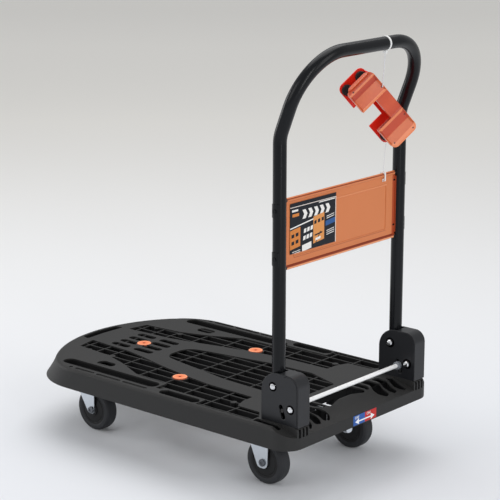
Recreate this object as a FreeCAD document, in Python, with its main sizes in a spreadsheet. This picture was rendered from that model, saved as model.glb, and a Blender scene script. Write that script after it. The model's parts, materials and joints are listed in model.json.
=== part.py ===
import FreeCAD, Part
import math
import os

import Sketcher

# Folding platform cart: a moulded deck on four casters, and a tube handle that folds down over it.
# Millimetres. +X points to the nose, +Y to the left, +Z up, and the floor is Z = 0.
# Places below are written from the middle of the rear lip, and every sub-part is then moved back
# by rear_to_origin(), so that the origin is under the middle of the whole cart.

os.makedirs("parts", exist_ok=True)
doc = FreeCAD.newDocument("platform_cart")
sheet = doc.addObject("Spreadsheet::Sheet", "Sizes")

SIZES = [
    # deck
    ("deck_length", 806, "rear lip to nose, at the top face"),
    ("deck_width", 500, "over the skirts"),
    ("deck_underside", 126.5, "floor to the skirt's lower edge"),
    ("deck_height", 47, "skirt's lower edge to the top face"),
    ("deck_plate", 4, "thickness of the top plate"),
    ("deck_skirt", 4, "thickness of the skirt"),
    ("nose_flare", 14, "how far the skirt's foot stands ahead of the top face"),
    ("nose_arc", 300, "radius of the nose at the top face"),
    ("nose_arc_foot", 420, "radius of the nose at the skirt's foot"),
    ("nose_corner", 150, "radius between nose and side"),
    ("rear_corner", 42, "radius of the rear corners"),
    ("deck_edge", 9, "rounding of the top edge"),
    ("lip_height", 25.5, "height of the upright rear lip"),
    ("slope_run", 50, "length of the slope from lip to top face"),
    ("rib_pitch", 29, "between lengthwise ribs"),
    ("cross_rib_pitch", 80, "between the middle crosswise ribs"),
    ("cross_rib_x", 250.5, "first middle crosswise rib from the rear lip"),
    ("rib_width", 3, "thickness of a rib"),
    ("rib_drop", 2, "rib tops below the top face"),
    ("rib_foot", 8, "rib feet above the skirt's lower edge"),
    ("vent_pitch", 11, "between the drain slots under a bracket"),
    ("vent_width", 6, "drain slots under a bracket"),
    ("grip_depth", 13, "depth of the hand grips"),
    ("disc_radius", 16.5, "anti-slip discs"),
    ("disc_rise", 0.8, "disc above the top face"),
    ("front_disc_x", 643, "front disc from the rear lip"),
    ("rear_disc_x", 410, "rear discs from the rear lip"),
    ("rear_disc_y", 128.5, "rear discs from the middle"),
    # casters
    ("rear_axle_x", 140.4, "rear axles from the rear lip"),
    ("front_axle_x", 654.6, "front axles from the rear lip"),
    ("wheel_track", 288.8, "between left and right wheels"),
    ("wheel_radius", 50, "over the tread"),
    ("tyre_width", 31, "across the tread"),
    ("core_radius", 36, "wheel core where the tyre sits"),
    ("hub_width", 36, "core's boss, between the fork legs"),
    ("hub_gap", 0.2, "boss to fork leg"),
    ("axle_radius", 5, "axle bolts"),
    ("axle_play", 0.05, "axle in its bush"),
    ("bush_wall", 3, "wheel bush"),
    ("fork_sheet", 2.5, "thickness of the fork's steel"),
    ("crown_gap", 8, "tyre to the underside of the crown"),
    ("swivel_trail", 34, "kingpin ahead of the rear axle"),
    ("plate_length", 100, "caster top plate, along X"),
    ("plate_width", 84, "caster top plate, along Y"),
    ("plate_sheet", 4, "thickness of the top plate"),
    ("race_radius", 27, "circle of the swivel balls"),
    ("ball_radius", 3, "swivel balls"),
    ("ball_play", 0.05, "ball to race"),
    ("kingpin_radius", 8, "outside of the hollow kingpin"),
    ("kingpin_play", 0.08, "kingpin in the crown"),
    ("screw_radius", 3, "caster and bracket screws"),
    ("screw_play", 0.2, "screw in its hole"),
    # handle
    ("tube_radius", 14, "handle tube"),
    ("tube_wall", 1.6, "handle tube's wall"),
    ("tube_x", 67, "handle tube from the rear lip"),
    ("tube_spacing", 402.7, "between the two legs"),
    ("pivot_height", 249, "handle pivot above the floor"),
    ("leg_clearance", 33.5, "deck's top to the legs' lower ends"),
    ("bend_height", 763, "where the handle starts to lean back"),
    ("lean_angle", 21.6, "lean of the grip, in degrees"),
    ("bend_radius", 72, "radius of that bend"),
    ("grip_reach", 178.7, "from that bend to the grip bar"),
    ("grip_corner", 113.6, "radius of the grip's corners"),
    ("bolt_radius", 4, "pivot and bracket bolts"),
    ("pivot_play", 0.05, "pivot bolt in its bush"),
    # brackets and release bar
    ("bracket_width", 37.5, "over both cheeks"),
    ("bracket_wall", 3.8, "thickness of a cheek"),
    ("bracket_front", 97, "front edge from the rear lip"),
    ("bracket_rear", 0.5, "rear edge from the rear lip"),
    ("bracket_top", 279.5, "above the floor"),
    ("bracket_front_round", 42, "radius of the upper front corner"),
    ("bracket_rear_round", 24, "radius of the upper rear corner"),
    ("lower_bolt_x", 20.5, "lower bolt from the rear lip"),
    ("lower_bolt_height", 209, "lower bolt above the floor"),
    ("release_radius", 4.75, "release bar"),
    ("release_x", 43.2, "release bar from the rear lip"),
    ("release_height", 202, "release bar above the floor"),
    ("release_travel", 13, "how far the bar is pressed"),
    ("release_rise", 8, "room in its slot above the bar"),
    ("release_lean", 18, "slant of its slot from upright, in degrees"),
    ("release_play", 0.4, "bar in its slot"),
    # panel
    ("panel_low", 487, "lower edge above the floor"),
    ("panel_high", 636, "upper edge above the floor"),
    ("panel_sheet", 1.2, "thickness of the panel"),
    ("panel_gap", 0.3, "panel flange to tube"),
    ("hem_radius", 4.5, "rolled edges"),
    ("hem_hole", 3, "hole in the rolled edges"),
    ("flange_depth", 15, "side flanges along the tubes"),
    ("label_width", 150, "label on the panel"),
    ("label_height", 105, "label on the panel"),
    # wheel stop
    ("stop_length", 170, "over both jaws"),
    ("stop_jaw", 58, "width of a jaw"),
    ("stop_reach", 70, "reach of a jaw"),
    ("stop_bridge", 32, "reach of the bridge"),
    ("stop_depth", 52, "between the outer faces"),
    ("stop_sheet", 2.5, "thickness of its steel"),
    ("stop_pad_radius", 12, "rubber pads"),
    ("stop_pad_height", 5, "rubber pads"),
    # brake
    ("brake_travel", 40, "how far the brake tab slides"),
    ("brake_drop", 4, "how far the plungers come down"),
    ("brake_bar_width", 24, "brake slide"),
    ("brake_sheet", 3, "thickness of the brake slide"),
    ("brake_tab_y", 37, "brake tab from the middle, when off"),
    ("plunger_radius", 4, "brake plungers"),
    ("plunger_play", 0.1, "plunger in the kingpin"),
]

for row, (name, value, note) in enumerate(SIZES, 1):
    sheet.set("A%d" % row, name)
    sheet.set("B%d" % row, str(value))
    sheet.setAlias("B%d" % row, name)
    sheet.set("C%d" % row, note)
doc.recompute()


def size(name):
    return float(sheet.get(name))


def vec(x, y, z=0.0):
    return FreeCAD.Vector(x, y, z)


X, Y, Z = vec(1, 0, 0), vec(0, 1, 0), vec(0, 0, 1)
LYING = FreeCAD.Rotation(X, -90)  # turns +Z to +Y
LYING_RIGHT = FreeCAD.Rotation(X, 90)  # turns +Z to -Y

# expressions that several sub-parts share
TIE_WALL = 1.3
DISC_SEAT = 2
REST_GAP = 0.3
BRACKET_SCREWS = (10, 24)  # ahead of the slope's top
LABEL_FILM = 0.3
ORIGIN = ("((Sizes.deck_length + Sizes.nose_flare + Sizes.tube_x"
          " - Sizes.grip_reach * sin(Sizes.lean_angle)"
          " - Sizes.tube_radius - %s) / 2)" % TIE_WALL)
HALF_TRACK = "(Sizes.wheel_track / 2)"
HALF_SPACING = "(Sizes.tube_spacing / 2)"
DECK_TOP = "(Sizes.deck_underside + Sizes.deck_height)"
KINGPIN_X = "(Sizes.rear_axle_x + Sizes.swivel_trail)"
FORK_HALF = "(Sizes.hub_width / 2 + Sizes.hub_gap)"

nodes = []


def rear_to_origin():
    grip_x = size("tube_x") - size("grip_reach") * math.sin(math.radians(size("lean_angle")))
    rearmost = grip_x - size("tube_radius") - TIE_WALL
    return (size("deck_length") + size("nose_flare") + rearmost) / 2


def deck_top():
    return size("deck_underside") + size("deck_height")


def crown_height():
    return 2 * size("wheel_radius") + size("crown_gap")


# ---------------------------------------------------------------- helpers: parametric bodies

def new_body(label):
    body = doc.addObject("PartDesign::Body", label)
    body.Label = label
    return body


def origin_plane(body, role):
    return [f for f in body.Origin.OriginFeatures if f.Role == role][0]


def new_sketch(body, role, name, lift="0"):
    sketch = body.newObject("Sketcher::SketchObject", name)
    sketch.AttachmentSupport = [(origin_plane(body, role), "")]
    sketch.MapMode = "FlatFace"
    sketch.setExpression(".AttachmentOffset.Base.z", lift)
    return sketch


def fix(sketch, kind, expression, *where):
    value = float(sketch.evalExpression(expression))
    index = sketch.addConstraint(Sketcher.Constraint(kind, *where, value))
    sketch.setExpression("Constraints[%d]" % index, expression)


def polygon(sketch, points):
    """Closed outline; each corner is tied to its own pair of expressions."""
    first = sketch.GeometryCount
    corners = [vec(float(sketch.evalExpression(a)), float(sketch.evalExpression(b))) for a, b in points]
    count = len(corners)
    for i in range(count):
        sketch.addGeometry(Part.LineSegment(corners[i], corners[(i + 1) % count]), False)
    for i in range(count):
        sketch.addConstraint(Sketcher.Constraint("Coincident", first + i, 2, first + (i + 1) % count, 1))
    for i, (a, b) in enumerate(points):
        fix(sketch, "DistanceX", a, -1, 1, first + i, 1)
        fix(sketch, "DistanceY", b, -1, 1, first + i, 1)


def rectangle(sketch, x0, x1, y0, y1):
    polygon(sketch, [(x0, y0), (x1, y0), (x1, y1), (x0, y1)])


def pad(body, sketch, length, midplane=False):
    feature = body.newObject("PartDesign::Pad", sketch.Name + "_pad")
    feature.Profile = sketch
    feature.setExpression("Length", length)
    feature.Midplane = midplane
    return feature


def place(feature, x, y, z, rotation=None):
    """Puts a sub-part at x from the rear lip, y from the middle and z above the floor."""
    if rotation:
        feature.Placement = FreeCAD.Placement(vec(0, 0, 0), rotation)
    feature.setExpression(".Placement.Base.x", "(%s) - %s" % (x, ORIGIN))
    feature.setExpression(".Placement.Base.y", y)
    feature.setExpression(".Placement.Base.z", z)


def turned(label, profile, spots, rotation=None):
    """A turned piece: profile is radius and height pairs, repeated at each spot as separate solids."""
    body = new_body(label)
    sketch = new_sketch(body, "XZ_Plane", label + "_profile")
    polygon(sketch, profile)
    revolution = body.newObject("PartDesign::Revolution", label + "_turn")
    revolution.Profile = sketch
    revolution.ReferenceAxis = (sketch, ["V_Axis"])
    revolution.Angle = 360
    return repeated(label, body, spots, rotation)


def repeated(label, body, spots, rotation=None):
    """One spot places the body itself; more spots make one node of linked copies.

    A spot is x, y and z expressions, and may end with a rotation of its own.
    """
    if len(spots) == 1:
        place(body, *spots[0], rotation)
        nodes.append(body)
        return body
    body.Label = label + "_pattern_piece"
    copies = []
    for index, spot in enumerate(spots):
        copy = doc.addObject("Part::Compound", "%s_copy_%d" % (label, index))
        copy.Links = [body]
        turn = spot[3] if len(spot) == 4 else rotation
        place(copy, *spot[:3], turn)
        copies.append(copy)
    group = doc.addObject("Part::Compound", label)
    group.Label = label
    group.Links = copies
    nodes.append(group)
    return group


# ---------------------------------------------------------------- helpers: shapes made in code

def shaped(label, shape):
    """A sub-part whose shape is worked out here, from the rear lip's middle."""
    feature = doc.addObject("Part::Feature", label)
    feature.Label = label
    feature.Shape = shape
    shift = FreeCAD.Placement(vec(-rear_to_origin(), 0, 0), FreeCAD.Rotation())
    feature.Placement = shift.multiply(shape.Placement)
    nodes.append(feature)
    return feature


def box(x0, x1, y0, y1, z0, z1):
    return Part.makeBox(x1 - x0, y1 - y0, z1 - z0, vec(x0, y0, z0))


def rod(radius, start, end):
    along = end - start
    return Part.makeCylinder(radius, along.Length, start, along)


def rounded(points):
    """Closed wire through x, y, radius corners in the XY plane."""
    corners = [vec(px, py) for px, py, _ in points]
    count = len(points)
    starts, ends, middles = [], [], []
    for i in range(count):
        here = corners[i]
        back = (corners[i - 1] - here).normalize()
        ahead = (corners[(i + 1) % count] - here).normalize()
        radius = points[i][2]
        half = back.getAngle(ahead) / 2
        cut = radius / math.tan(half) if radius else 0.0
        starts.append(here + back * cut)
        ends.append(here + ahead * cut)
        inward = (back + ahead).normalize() if radius else vec(0, 0)
        middles.append(here + inward * (radius / math.sin(half) - radius) if radius else here)
    edges = []
    for i in range(count):
        if points[i][2]:
            edges.append(Part.Arc(starts[i], middles[i], ends[i]).toShape())
        following = starts[(i + 1) % count]
        if (following - ends[i]).Length > 1e-6:
            edges.append(Part.LineSegment(ends[i], following).toShape())
    return Part.Wire(edges)


def slab(points, z0, z1):
    """Rounded outline in plan, between two heights."""
    wire = rounded(points)
    wire.translate(vec(0, 0, z0))
    return Part.Face(wire).extrude(vec(0, 0, z1 - z0))


def cheek(points, y0, y1):
    """Rounded outline in side view, x and z, between two values of y."""
    solid = slab(points, -y1, -y0)
    solid.rotate(vec(0, 0, 0), X, 90)
    return solid


def obround(x0, x1, y, half, z0, z1):
    return slab([(x0, y - half, half * 0.999), (x1, y - half, half * 0.999),
                 (x1, y + half, half * 0.999), (x0, y + half, half * 0.999)], z0, z1)


def both_sides(solids):
    """The solids and their mirror images across the cart's middle."""
    return list(solids) + [s.mirror(vec(0, 0, 0), Y) for s in solids]


def cut_all(solid, tools):
    return solid.cut(Part.makeCompound(tools))


# ---------------------------------------------------------------- deck

def deck_outline(height, inset):
    """The deck's plan at a height above the floor, drawn in by inset."""
    share = (height - size("deck_underside")) / size("deck_height")
    length = size("deck_length") + size("nose_flare") * (1 - share) - inset
    arc = size("nose_arc_foot") + (size("nose_arc") - size("nose_arc_foot")) * share - inset
    corner = size("nose_corner") - inset
    rear = max(size("rear_corner") - inset, 1.0)
    half = size("deck_width") / 2 - inset
    drop = half - corner
    run = math.sqrt((arc - corner) ** 2 - drop ** 2)
    middle_x = length - arc
    corner_x = middle_x + run
    turn = math.atan2(drop, run)
    meet = vec(middle_x + arc * math.cos(turn), arc * math.sin(turn), height)
    bow = (turn + math.pi / 2) / 2
    bulge = vec(corner_x + corner * math.cos(bow), drop + corner * math.sin(bow), height)
    diagonal = math.sqrt(0.5) * rear
    side = [vec(corner_x, half, height), bulge, meet]
    back = [vec(inset + rear, half, height),
            vec(inset + rear - diagonal, half - rear + diagonal, height),
            vec(inset, half - rear, height)]

    def other(point):
        return vec(point.x, -point.y, point.z)

    edges = [
        Part.LineSegment(back[0], side[0]).toShape(),
        Part.Arc(side[0], side[1], side[2]).toShape(),
        Part.Arc(side[2], vec(length, 0, height), other(side[2])).toShape(),
        Part.Arc(other(side[2]), other(side[1]), other(side[0])).toShape(),
        Part.LineSegment(other(side[0]), other(back[0])).toShape(),
        Part.Arc(other(back[0]), other(back[1]), other(back[2])).toShape(),
        Part.LineSegment(other(back[2]), back[2]).toShape(),
        Part.Arc(back[2], back[1], back[0]).toShape(),
    ]
    return Part.Wire(edges)


def deck_block(inset, z0, z1):
    return Part.makeLoft([deck_outline(z0, inset), deck_outline(z1, inset)], True, True)


def slope_height(x):
    """Top of the deck at x from the rear lip."""
    lip = size("deck_underside") + size("lip_height")
    if x >= size("slope_run"):
        return deck_top()
    return lip + (deck_top() - lip) * max(x, 0.0) / size("slope_run")


def above_slope(depth):
    """Everything above the rear slope, let down by depth."""
    lip = slope_height(0) - depth
    top = deck_top() - depth
    run = size("slope_run")
    half = size("deck_width")
    above = top + 40
    side_view = [(-20, lip, 0), (0, lip, 0), (run, top, 0), (run, above, 0), (-20, above, 0)]
    return cut_all(cheek(side_view, -half, half), bracket_blocks(depth, above + 5))


def bracket_blocks(inset, above):
    """The width under each bracket, where the deck goes up flush with its lip."""
    middle = size("tube_spacing") / 2
    half = size("bracket_width") / 2 - inset
    return both_sides([box(inset - 0.01 if inset else -30, size("slope_run") + 5, middle - half,
                           middle + half, size("deck_underside"), above)])


def lattice_windows(z0, z1):
    """Places where the top plate is left out and the ribs show."""
    length = size("deck_length")
    half = size("deck_width") / 2
    rim = half - 10
    band = [
        (length - 54, 60, 3), (length - 65, 112, 3), (length - 116, 116, 20), (length - 166, 121, 20),
        (length - 235, 143, 20), (length - 318, 181, 20), (length - 407, 182, 0),
        (length - 407, 218, 3), (length - 418, 218, 3), (length - 426, 205, 3),
        (length - 543, 205, 3), (length - 543, rim, 3), (108, rim, 3),
        (108, 214, 8), (126, 192, 3), (187, 190, 3), (190, 185, 3), (199, 158, 3),
        (199, 129, 3), (length - 480, 126, 20), (length - 415, 117, 10), (length - 369, 108, 10),
        (length - 316, 98, 10), (length - 235, 78, 10), (length - 178, 67, 10), (length - 126, 65, 10),
    ]
    tongue_top = length - 266
    tongue = [
        (tongue_top, -38, 34), (tongue_top, 38, 34), (length - 320, 50, 30), (length - 402, 63, 40),
        (length - 481, 77, 40), (length - 600, 82, 30), (120, 54, 6), (120, -54, 6),
        (length - 600, -82, 30), (length - 481, -77, 40), (length - 402, -63, 40), (length - 320, -50, 30),
    ]
    finger_slots = []
    for x0, x1 in ((length - 231, length - 174), (length - 158, length - 103)):
        for y in (-43.5, -14.5, 14.5, 43.5):
            finger_slots.append(obround(x0, x1, y, 9, z0, z1))
    edge_slots = [obround(x0, x1, half - 15, 4, z0, z1)
                  for x0, x1 in ((length - 396, length - 323), (length - 316, length - 242),
                                 (length - 235, length - 176), (length - 167, length - 157))]
    eye = obround(length - 231, length - 183, half - 82, 13, z0, z1)
    return both_sides([slab(band, z0, z1), eye] + edge_slots) + [slab(tongue, z0, z1)] + finger_slots


def rear_slots(z0, z1):
    """Opening behind the release bar, a fan of slots up each side of the slope, and a slot at each edge."""
    half = size("deck_width") / 2
    run = size("slope_run")
    middle = slab([(run - 10, -68, 10), (run + 42, -64, 6), (run + 42, 64, 6), (run - 10, 68, 10),
                   (run + 2, 20, 30), (run + 2, -20, 30)], z0, z1)
    fan = [
        [(run - 4, 71, 4), (run + 12, 71, 8), (run + 42, 73, 6), (run + 42, 92, 6), (run + 9, 91, 14),
         (run - 4, 81, 4)],
        [(12, 100, 6), (24, 86, 10), (38, 85, 12), (run + 8, 97, 12), (run + 36, 98, 6),
         (run + 36, 122, 8), (run - 2, 121, 12), (32, 113, 8), (16, 115, 8)],
        [(12, 129, 5), (22, 121, 6), (36, 119, 6), (run + 8, 128, 8), (run + 28, 130, 5),
         (run + 28, 150, 6), (run - 2, 147, 8), (32, 140, 6), (16, 143, 6)],
        [(10, 163, 3), (18, 152, 4), (28, 147, 4), (run + 10, 157, 6), (run + 10, 173, 6),
         (30, 168, 6), (12, 171, 3)],
    ]
    edge = slab([(36, half - 23, 3), (104, half - 26, 3), (104, half - 10, 3), (36, half - 10, 3)], z0, z1)
    return [middle] + both_sides([slab(leaf, z0, z1) for leaf in fan] + [edge])


def grips(grow, z0, z1):
    """Hand grips: one across the nose, one along each side, and a pocket behind each of those."""
    length = size("deck_length")
    half = size("deck_width") / 2
    side = obround(length - 402 - grow, length - 114 + grow, half - 43.5, 16 + grow, z0, z1)
    low, high = half - 37 - grow, half - 11 + grow
    rear, front = length - 540 - grow, length - 430 + grow
    corners = [(rear, low + 10, 3), (rear + 10, low, 3), (front - 10, low, 3), (front, low + 10, 3),
               (front, high - 8, 3), (front - 8, high, 3), (rear + 8, high, 3), (rear, high - 8, 3)]
    pocket_shape = slab(corners, z0, z1)
    nose = slab([(length - 36 - grow, -60 - grow, 4), (length - 15.5 + grow, -54 - grow, 6),
                 (length - 10.5 + grow, 0, 150), (length - 15.5 + grow, 54 + grow, 6),
                 (length - 36 - grow, 60 + grow, 4), (length - 33 - grow, 0, 150)], z0, z1)
    return both_sides([side, pocket_shape]) + [nose]


def rib_stations():
    """Crosswise ribs from the rear lip, with one beyond each end of the deck."""
    length = size("deck_length")
    first, pitch = size("cross_rib_x"), size("cross_rib_pitch")
    middle = [first + pitch * k for k in range(4)]
    front = [length - ahead for ahead in (235, 165, 120, 72)]
    return [-20, 15, 93, 182] + middle + front + [length + 40]


def rib_cells(z0, z1):
    """The spaces between the ribs."""
    width = size("rib_width")
    pitch = size("rib_pitch")
    half = size("deck_width") / 2
    cells = []
    stations = rib_stations()
    lanes = [pitch * k for k in range(-int(half / pitch), int(half / pitch) + 1)]
    lanes = [-half - pitch] + lanes + [half + pitch]
    for x0, x1 in zip(stations, stations[1:]):
        for y0, y1 in zip(lanes, lanes[1:]):
            cells.append(box(x0 + width / 2, x1 - width / 2, y0 + width / 2, y1 - width / 2, z0, z1))
    return cells


def caster_spots():
    """Middle of each caster's top plate, from the rear lip."""
    half = size("wheel_track") / 2
    rear = size("rear_axle_x") + size("swivel_trail")
    front = size("front_axle_x") + size("swivel_trail") / 2
    return [(rear, half), (rear, -half), (front, half), (front, -half)]


def screw_offsets():
    along = size("plate_length") / 2 - 12
    across = size("plate_width") / 2 - 12
    return [(sx * along, sy * across) for sx in (-1, 1) for sy in (-1, 1)]


def plate_top():
    return size("deck_underside") + size("plate_sheet")


def brake_levels():
    """Heights of the brake slide's underside and of the trough's roof."""
    under = plate_top() + size("deck_plate") + size("brake_drop") + 8.5
    return under, under + size("brake_sheet") + 5


def make_deck():
    floor = size("deck_underside")
    top = deck_top()
    plate = size("deck_plate")
    skirt = size("deck_skirt")
    outer = deck_block(0, floor, top)
    outer = outer.makeFillet(size("deck_edge"), [e for e in outer.Edges if e.BoundBox.ZMin > top - 0.1])
    outer = outer.cut(above_slope(0))
    inner = deck_block(skirt, floor - 5, top - plate).cut(above_slope(plate))
    shell = outer.cut(inner)
    shell = cut_all(shell, lattice_windows(top - plate - 1, top + 5))
    shell = cut_all(shell, rear_slots(slope_height(0) - 20, top + 5))

    rib_top = top - size("rib_drop")
    rib_foot = floor + size("rib_foot")
    ribs = deck_block(skirt - 1, rib_foot, rib_top).cut(above_slope(size("rib_drop")))
    ribs = cut_all(ribs, rib_cells(rib_foot - 1, rib_top + 1) + rear_slots(rib_foot - 1, rib_top + 1))

    pad_base = plate_top()
    pads = []
    for x, y in caster_spots():
        long, wide = size("plate_length") / 2, size("plate_width") / 2
        pads.append(box(x - long, x + long, y - wide, y + wide, pad_base, pad_base + plate))
        for dx, dy in screw_offsets():
            foot = vec(x + dx, y + dy, pad_base)
            pads.append(Part.makeCylinder(size("screw_radius") + 4, rib_top - pad_base, foot))
    depth = size("grip_depth")
    wells = grips(size("rib_width"), top - depth - plate, rib_top)
    wells = [w.common(deck_block(skirt - 1, rib_foot, rib_top)) for w in wells]
    deck = shell.multiFuse([ribs] + pads + wells + disc_bosses())
    deck = cut_all(deck, grips(0, top - depth, top + 5))

    cuts = trough()
    for x, y in caster_spots():
        for dx, dy in screw_offsets():
            cuts.append(Part.makeCylinder(size("screw_radius"), 18, vec(x + dx, y + dy, pad_base)))
    for x, y in caster_spots()[:2]:
        cuts.append(Part.makeCylinder(size("plunger_radius") + 2, plate + 2, vec(x, y, pad_base - 1)))
    cuts += disc_seats()
    cuts += bracket_screw_holes(size("screw_radius"))
    cuts += lip_vents()
    deck = cut_all(deck, cuts)
    return shaped("deck", deck)


def disc_spots():
    return [(size("front_disc_x"), 0), (size("rear_disc_x"), size("rear_disc_y")),
            (size("rear_disc_x"), -size("rear_disc_y"))]


def disc_seats():
    """Round seats that take the anti-slip discs."""
    top = deck_top()
    seats = []
    for x, y in disc_spots():
        seats.append(Part.makeCylinder(size("disc_radius"), 10, vec(x, y, top - DISC_SEAT)))
    return seats


def disc_bosses():
    """Round lands that carry the discs where the plate is open."""
    top = deck_top()
    lands = []
    for x, y in disc_spots():
        lands.append(Part.makeCylinder(size("disc_radius") + 3, 12, vec(x, y, top - 14)))
    return lands


def lip_vents():
    """Three drain slots in the upright wall under each bracket."""
    lip = slope_height(0)
    pitch = size("vent_pitch")
    middle = size("tube_spacing") / 2
    half = size("vent_width") / 2
    slots = [box(-1, size("deck_skirt") + 2, middle - half + k * pitch, middle + half + k * pitch,
                 lip - 1, deck_top() - size("deck_plate"))
             for k in (-1, 0, 1)]
    return both_sides(slots)


def bracket_screw_holes(radius):
    spots = [size("slope_run") + ahead for ahead in BRACKET_SCREWS]
    middle = size("tube_spacing") / 2
    return both_sides([Part.makeCylinder(radius, 30, vec(x, middle, deck_top() - 20)) for x in spots])


def make_discs():
    spots = [("Sizes.front_disc_x", "0", DECK_TOP), ("Sizes.rear_disc_x", "Sizes.rear_disc_y", DECK_TOP),
             ("Sizes.rear_disc_x", "-Sizes.rear_disc_y", DECK_TOP)]
    edge = "Sizes.disc_radius"
    rise = "Sizes.disc_rise"
    profile = [("2.5", "-%s" % DISC_SEAT), (edge, "-%s" % DISC_SEAT), (edge, "0"),
               (edge + " - " + rise, rise),
               ("4", rise), ("2.5", "0")]
    turned("grip_discs", profile, spots)


# ---------------------------------------------------------------- brackets and release bar

def slot_line():
    """Direction in which the release bar is pressed, and its travel."""
    lean = math.radians(size("release_lean"))
    return vec(-math.sin(lean), 0, -math.cos(lean)), size("release_travel")


def bracket_profile(grow=0.0):
    """Side view of a bracket from its foot on the deck to its rounded top, drawn in by grow."""
    rear, front = size("bracket_rear") + grow, size("bracket_front") - grow
    top = size("bracket_top") - grow
    return [(rear, deck_top(), 0), (front, deck_top(), 0),
            (front, top, size("bracket_front_round") - grow), (rear, top, size("bracket_rear_round") - grow)]


def cheek_groove(y0, y1):
    """Shallow groove that sets the cheek's plate off from the rear band, round the rear corner."""
    ring = cheek(bracket_profile(2.2), y0, y1).cut(cheek(bracket_profile(3.8), y0 - 1, y1 + 1))
    return ring.common(box(0, size("bracket_rear") + 36, y0, y1, deck_top() + 3, size("bracket_top")))


def make_bracket(label, side):
    middle = side * size("tube_spacing") / 2
    half = size("bracket_width") / 2
    wall = size("bracket_wall")
    foot = deck_top() + wall
    rear = size("bracket_rear") + wall
    solid = cheek(bracket_profile(), middle - half, middle + half)
    top = size("bracket_top")
    cap = size("tube_x") - size("tube_radius") - 1.5
    hollow = cheek([(rear, foot, 0), (size("bracket_front") + 5, foot, 0),
                    (size("bracket_front") + 5, top + 5, 0), (cap, top + 5, 0), (cap, top - wall, 0),
                    (rear, top - wall, size("bracket_rear_round") - wall)],
                   middle - half + wall, middle + half - wall)
    solid = solid.cut(hollow)
    stop_x = size("tube_x") + size("tube_radius") + REST_GAP
    web = box(stop_x, stop_x + wall, middle - half + wall / 2, middle + half - wall / 2,
              foot - wall / 2, size("pivot_height") - size("tube_radius") - 20)
    solid = solid.fuse(web)
    down, travel = slot_line()
    rest = vec(size("release_x"), 0, size("release_height"))
    start = rest - down * size("release_rise")
    end = rest + down * travel
    reach = size("release_radius") + size("release_play")
    across = vec(0, size("deck_width"), 0)
    cuts = [rod(reach, start - across, start + across), rod(reach, end - across, end + across)]
    long = travel + size("release_rise")
    sweep = Part.makeBox(2 * reach, size("deck_width") * 2, long, vec(-reach, -size("deck_width"), 0))
    sweep.rotate(vec(0, 0, 0), Y, size("release_lean"))
    sweep.translate(end)
    cuts.append(sweep)
    bolt = size("bolt_radius")
    upper = (size("tube_x"), size("pivot_height"))
    lower = (size("lower_bolt_x"), size("lower_bolt_height"))
    face = middle + side * half
    for x, z in (upper, lower):
        cuts.append(rod(bolt, vec(x, middle - 60, z), vec(x, middle + 60, z)))
        inside, outside = vec(x, face - side * 0.8, z), vec(x, face + side, z)
        cuts.append(rod(bolt + 4.6, inside, outside).cut(rod(bolt + 2.7, inside, outside)))
    low, high = sorted((face - side, face + side))
    cuts.append(cheek_groove(low, high))
    for ahead in BRACKET_SCREWS:
        foot = vec(size("slope_run") + ahead, middle, deck_top() - 5)
        cuts.append(Part.makeCylinder(size("screw_radius") + size("screw_play"), 20, foot))
    shaped(label, cut_all(solid, cuts))


def make_bracket_bolts():
    half = "Sizes.bracket_width / 2"
    shank = "Sizes.bolt_radius"
    inner = "-%s - 4.5" % half
    bolt = [("0", inner), (shank, inner), (shank, half), ("%s + 2.6" % shank, half),
            ("%s + 2.4" % shank, half + " + 1.2"), ("%s + 1" % shank, half + " + 2.6"),
            ("1.6", half + " + 3.3"), ("0", half + " + 3.4")]
    nut_face = "-" + half
    nut = [(shank, nut_face), ("%s + 2.8" % shank, nut_face),
           ("%s + 2.8" % shank, nut_face + " - 3.4"), ("%s + 1.2" % shank, nut_face + " - 6"),
           ("1.5", nut_face + " - 7"), ("0", nut_face + " - 7.1"), ("0", inner), (shank, inner)]
    for name, x, z in (("pivot", "Sizes.tube_x", "Sizes.pivot_height"),
                       ("bracket", "Sizes.lower_bolt_x", "Sizes.lower_bolt_height")):
        spots = [(x, HALF_SPACING, z, LYING), (x, "-" + HALF_SPACING, z, LYING_RIGHT)]
        turned(name + "_bolts", bolt, spots)
        turned(name + "_nuts", nut, spots)


def make_spacers():
    """Sleeves that keep the cheeks apart at the lower bolts."""
    half = "(Sizes.bracket_width / 2 - Sizes.bracket_wall)"
    inner, outer = "Sizes.bolt_radius", "Sizes.bolt_radius + 3"
    profile = [(inner, "-" + half), (outer, "-" + half), (outer, half), (inner, half)]
    spots = [("Sizes.lower_bolt_x", HALF_SPACING, "Sizes.lower_bolt_height"),
             ("Sizes.lower_bolt_x", "-" + HALF_SPACING, "Sizes.lower_bolt_height")]
    turned("bracket_spacers", profile, spots, LYING)


def make_bracket_screws():
    """Pan-head screws from each bracket's floor down into the deck."""
    under = "Sizes.bracket_wall"
    shank = "Sizes.screw_radius"
    profile = [("0", "-12"), (shank, "-12"), (shank, under), ("Sizes.screw_radius + 3", under),
               ("Sizes.screw_radius + 2", under + " + 2.4"), ("0", under + " + 2.6")]
    spots = [("Sizes.slope_run + %d" % d, y, DECK_TOP)
             for y in (HALF_SPACING, "-" + HALF_SPACING) for d in BRACKET_SCREWS]
    turned("bracket_screws", profile, spots)


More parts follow.
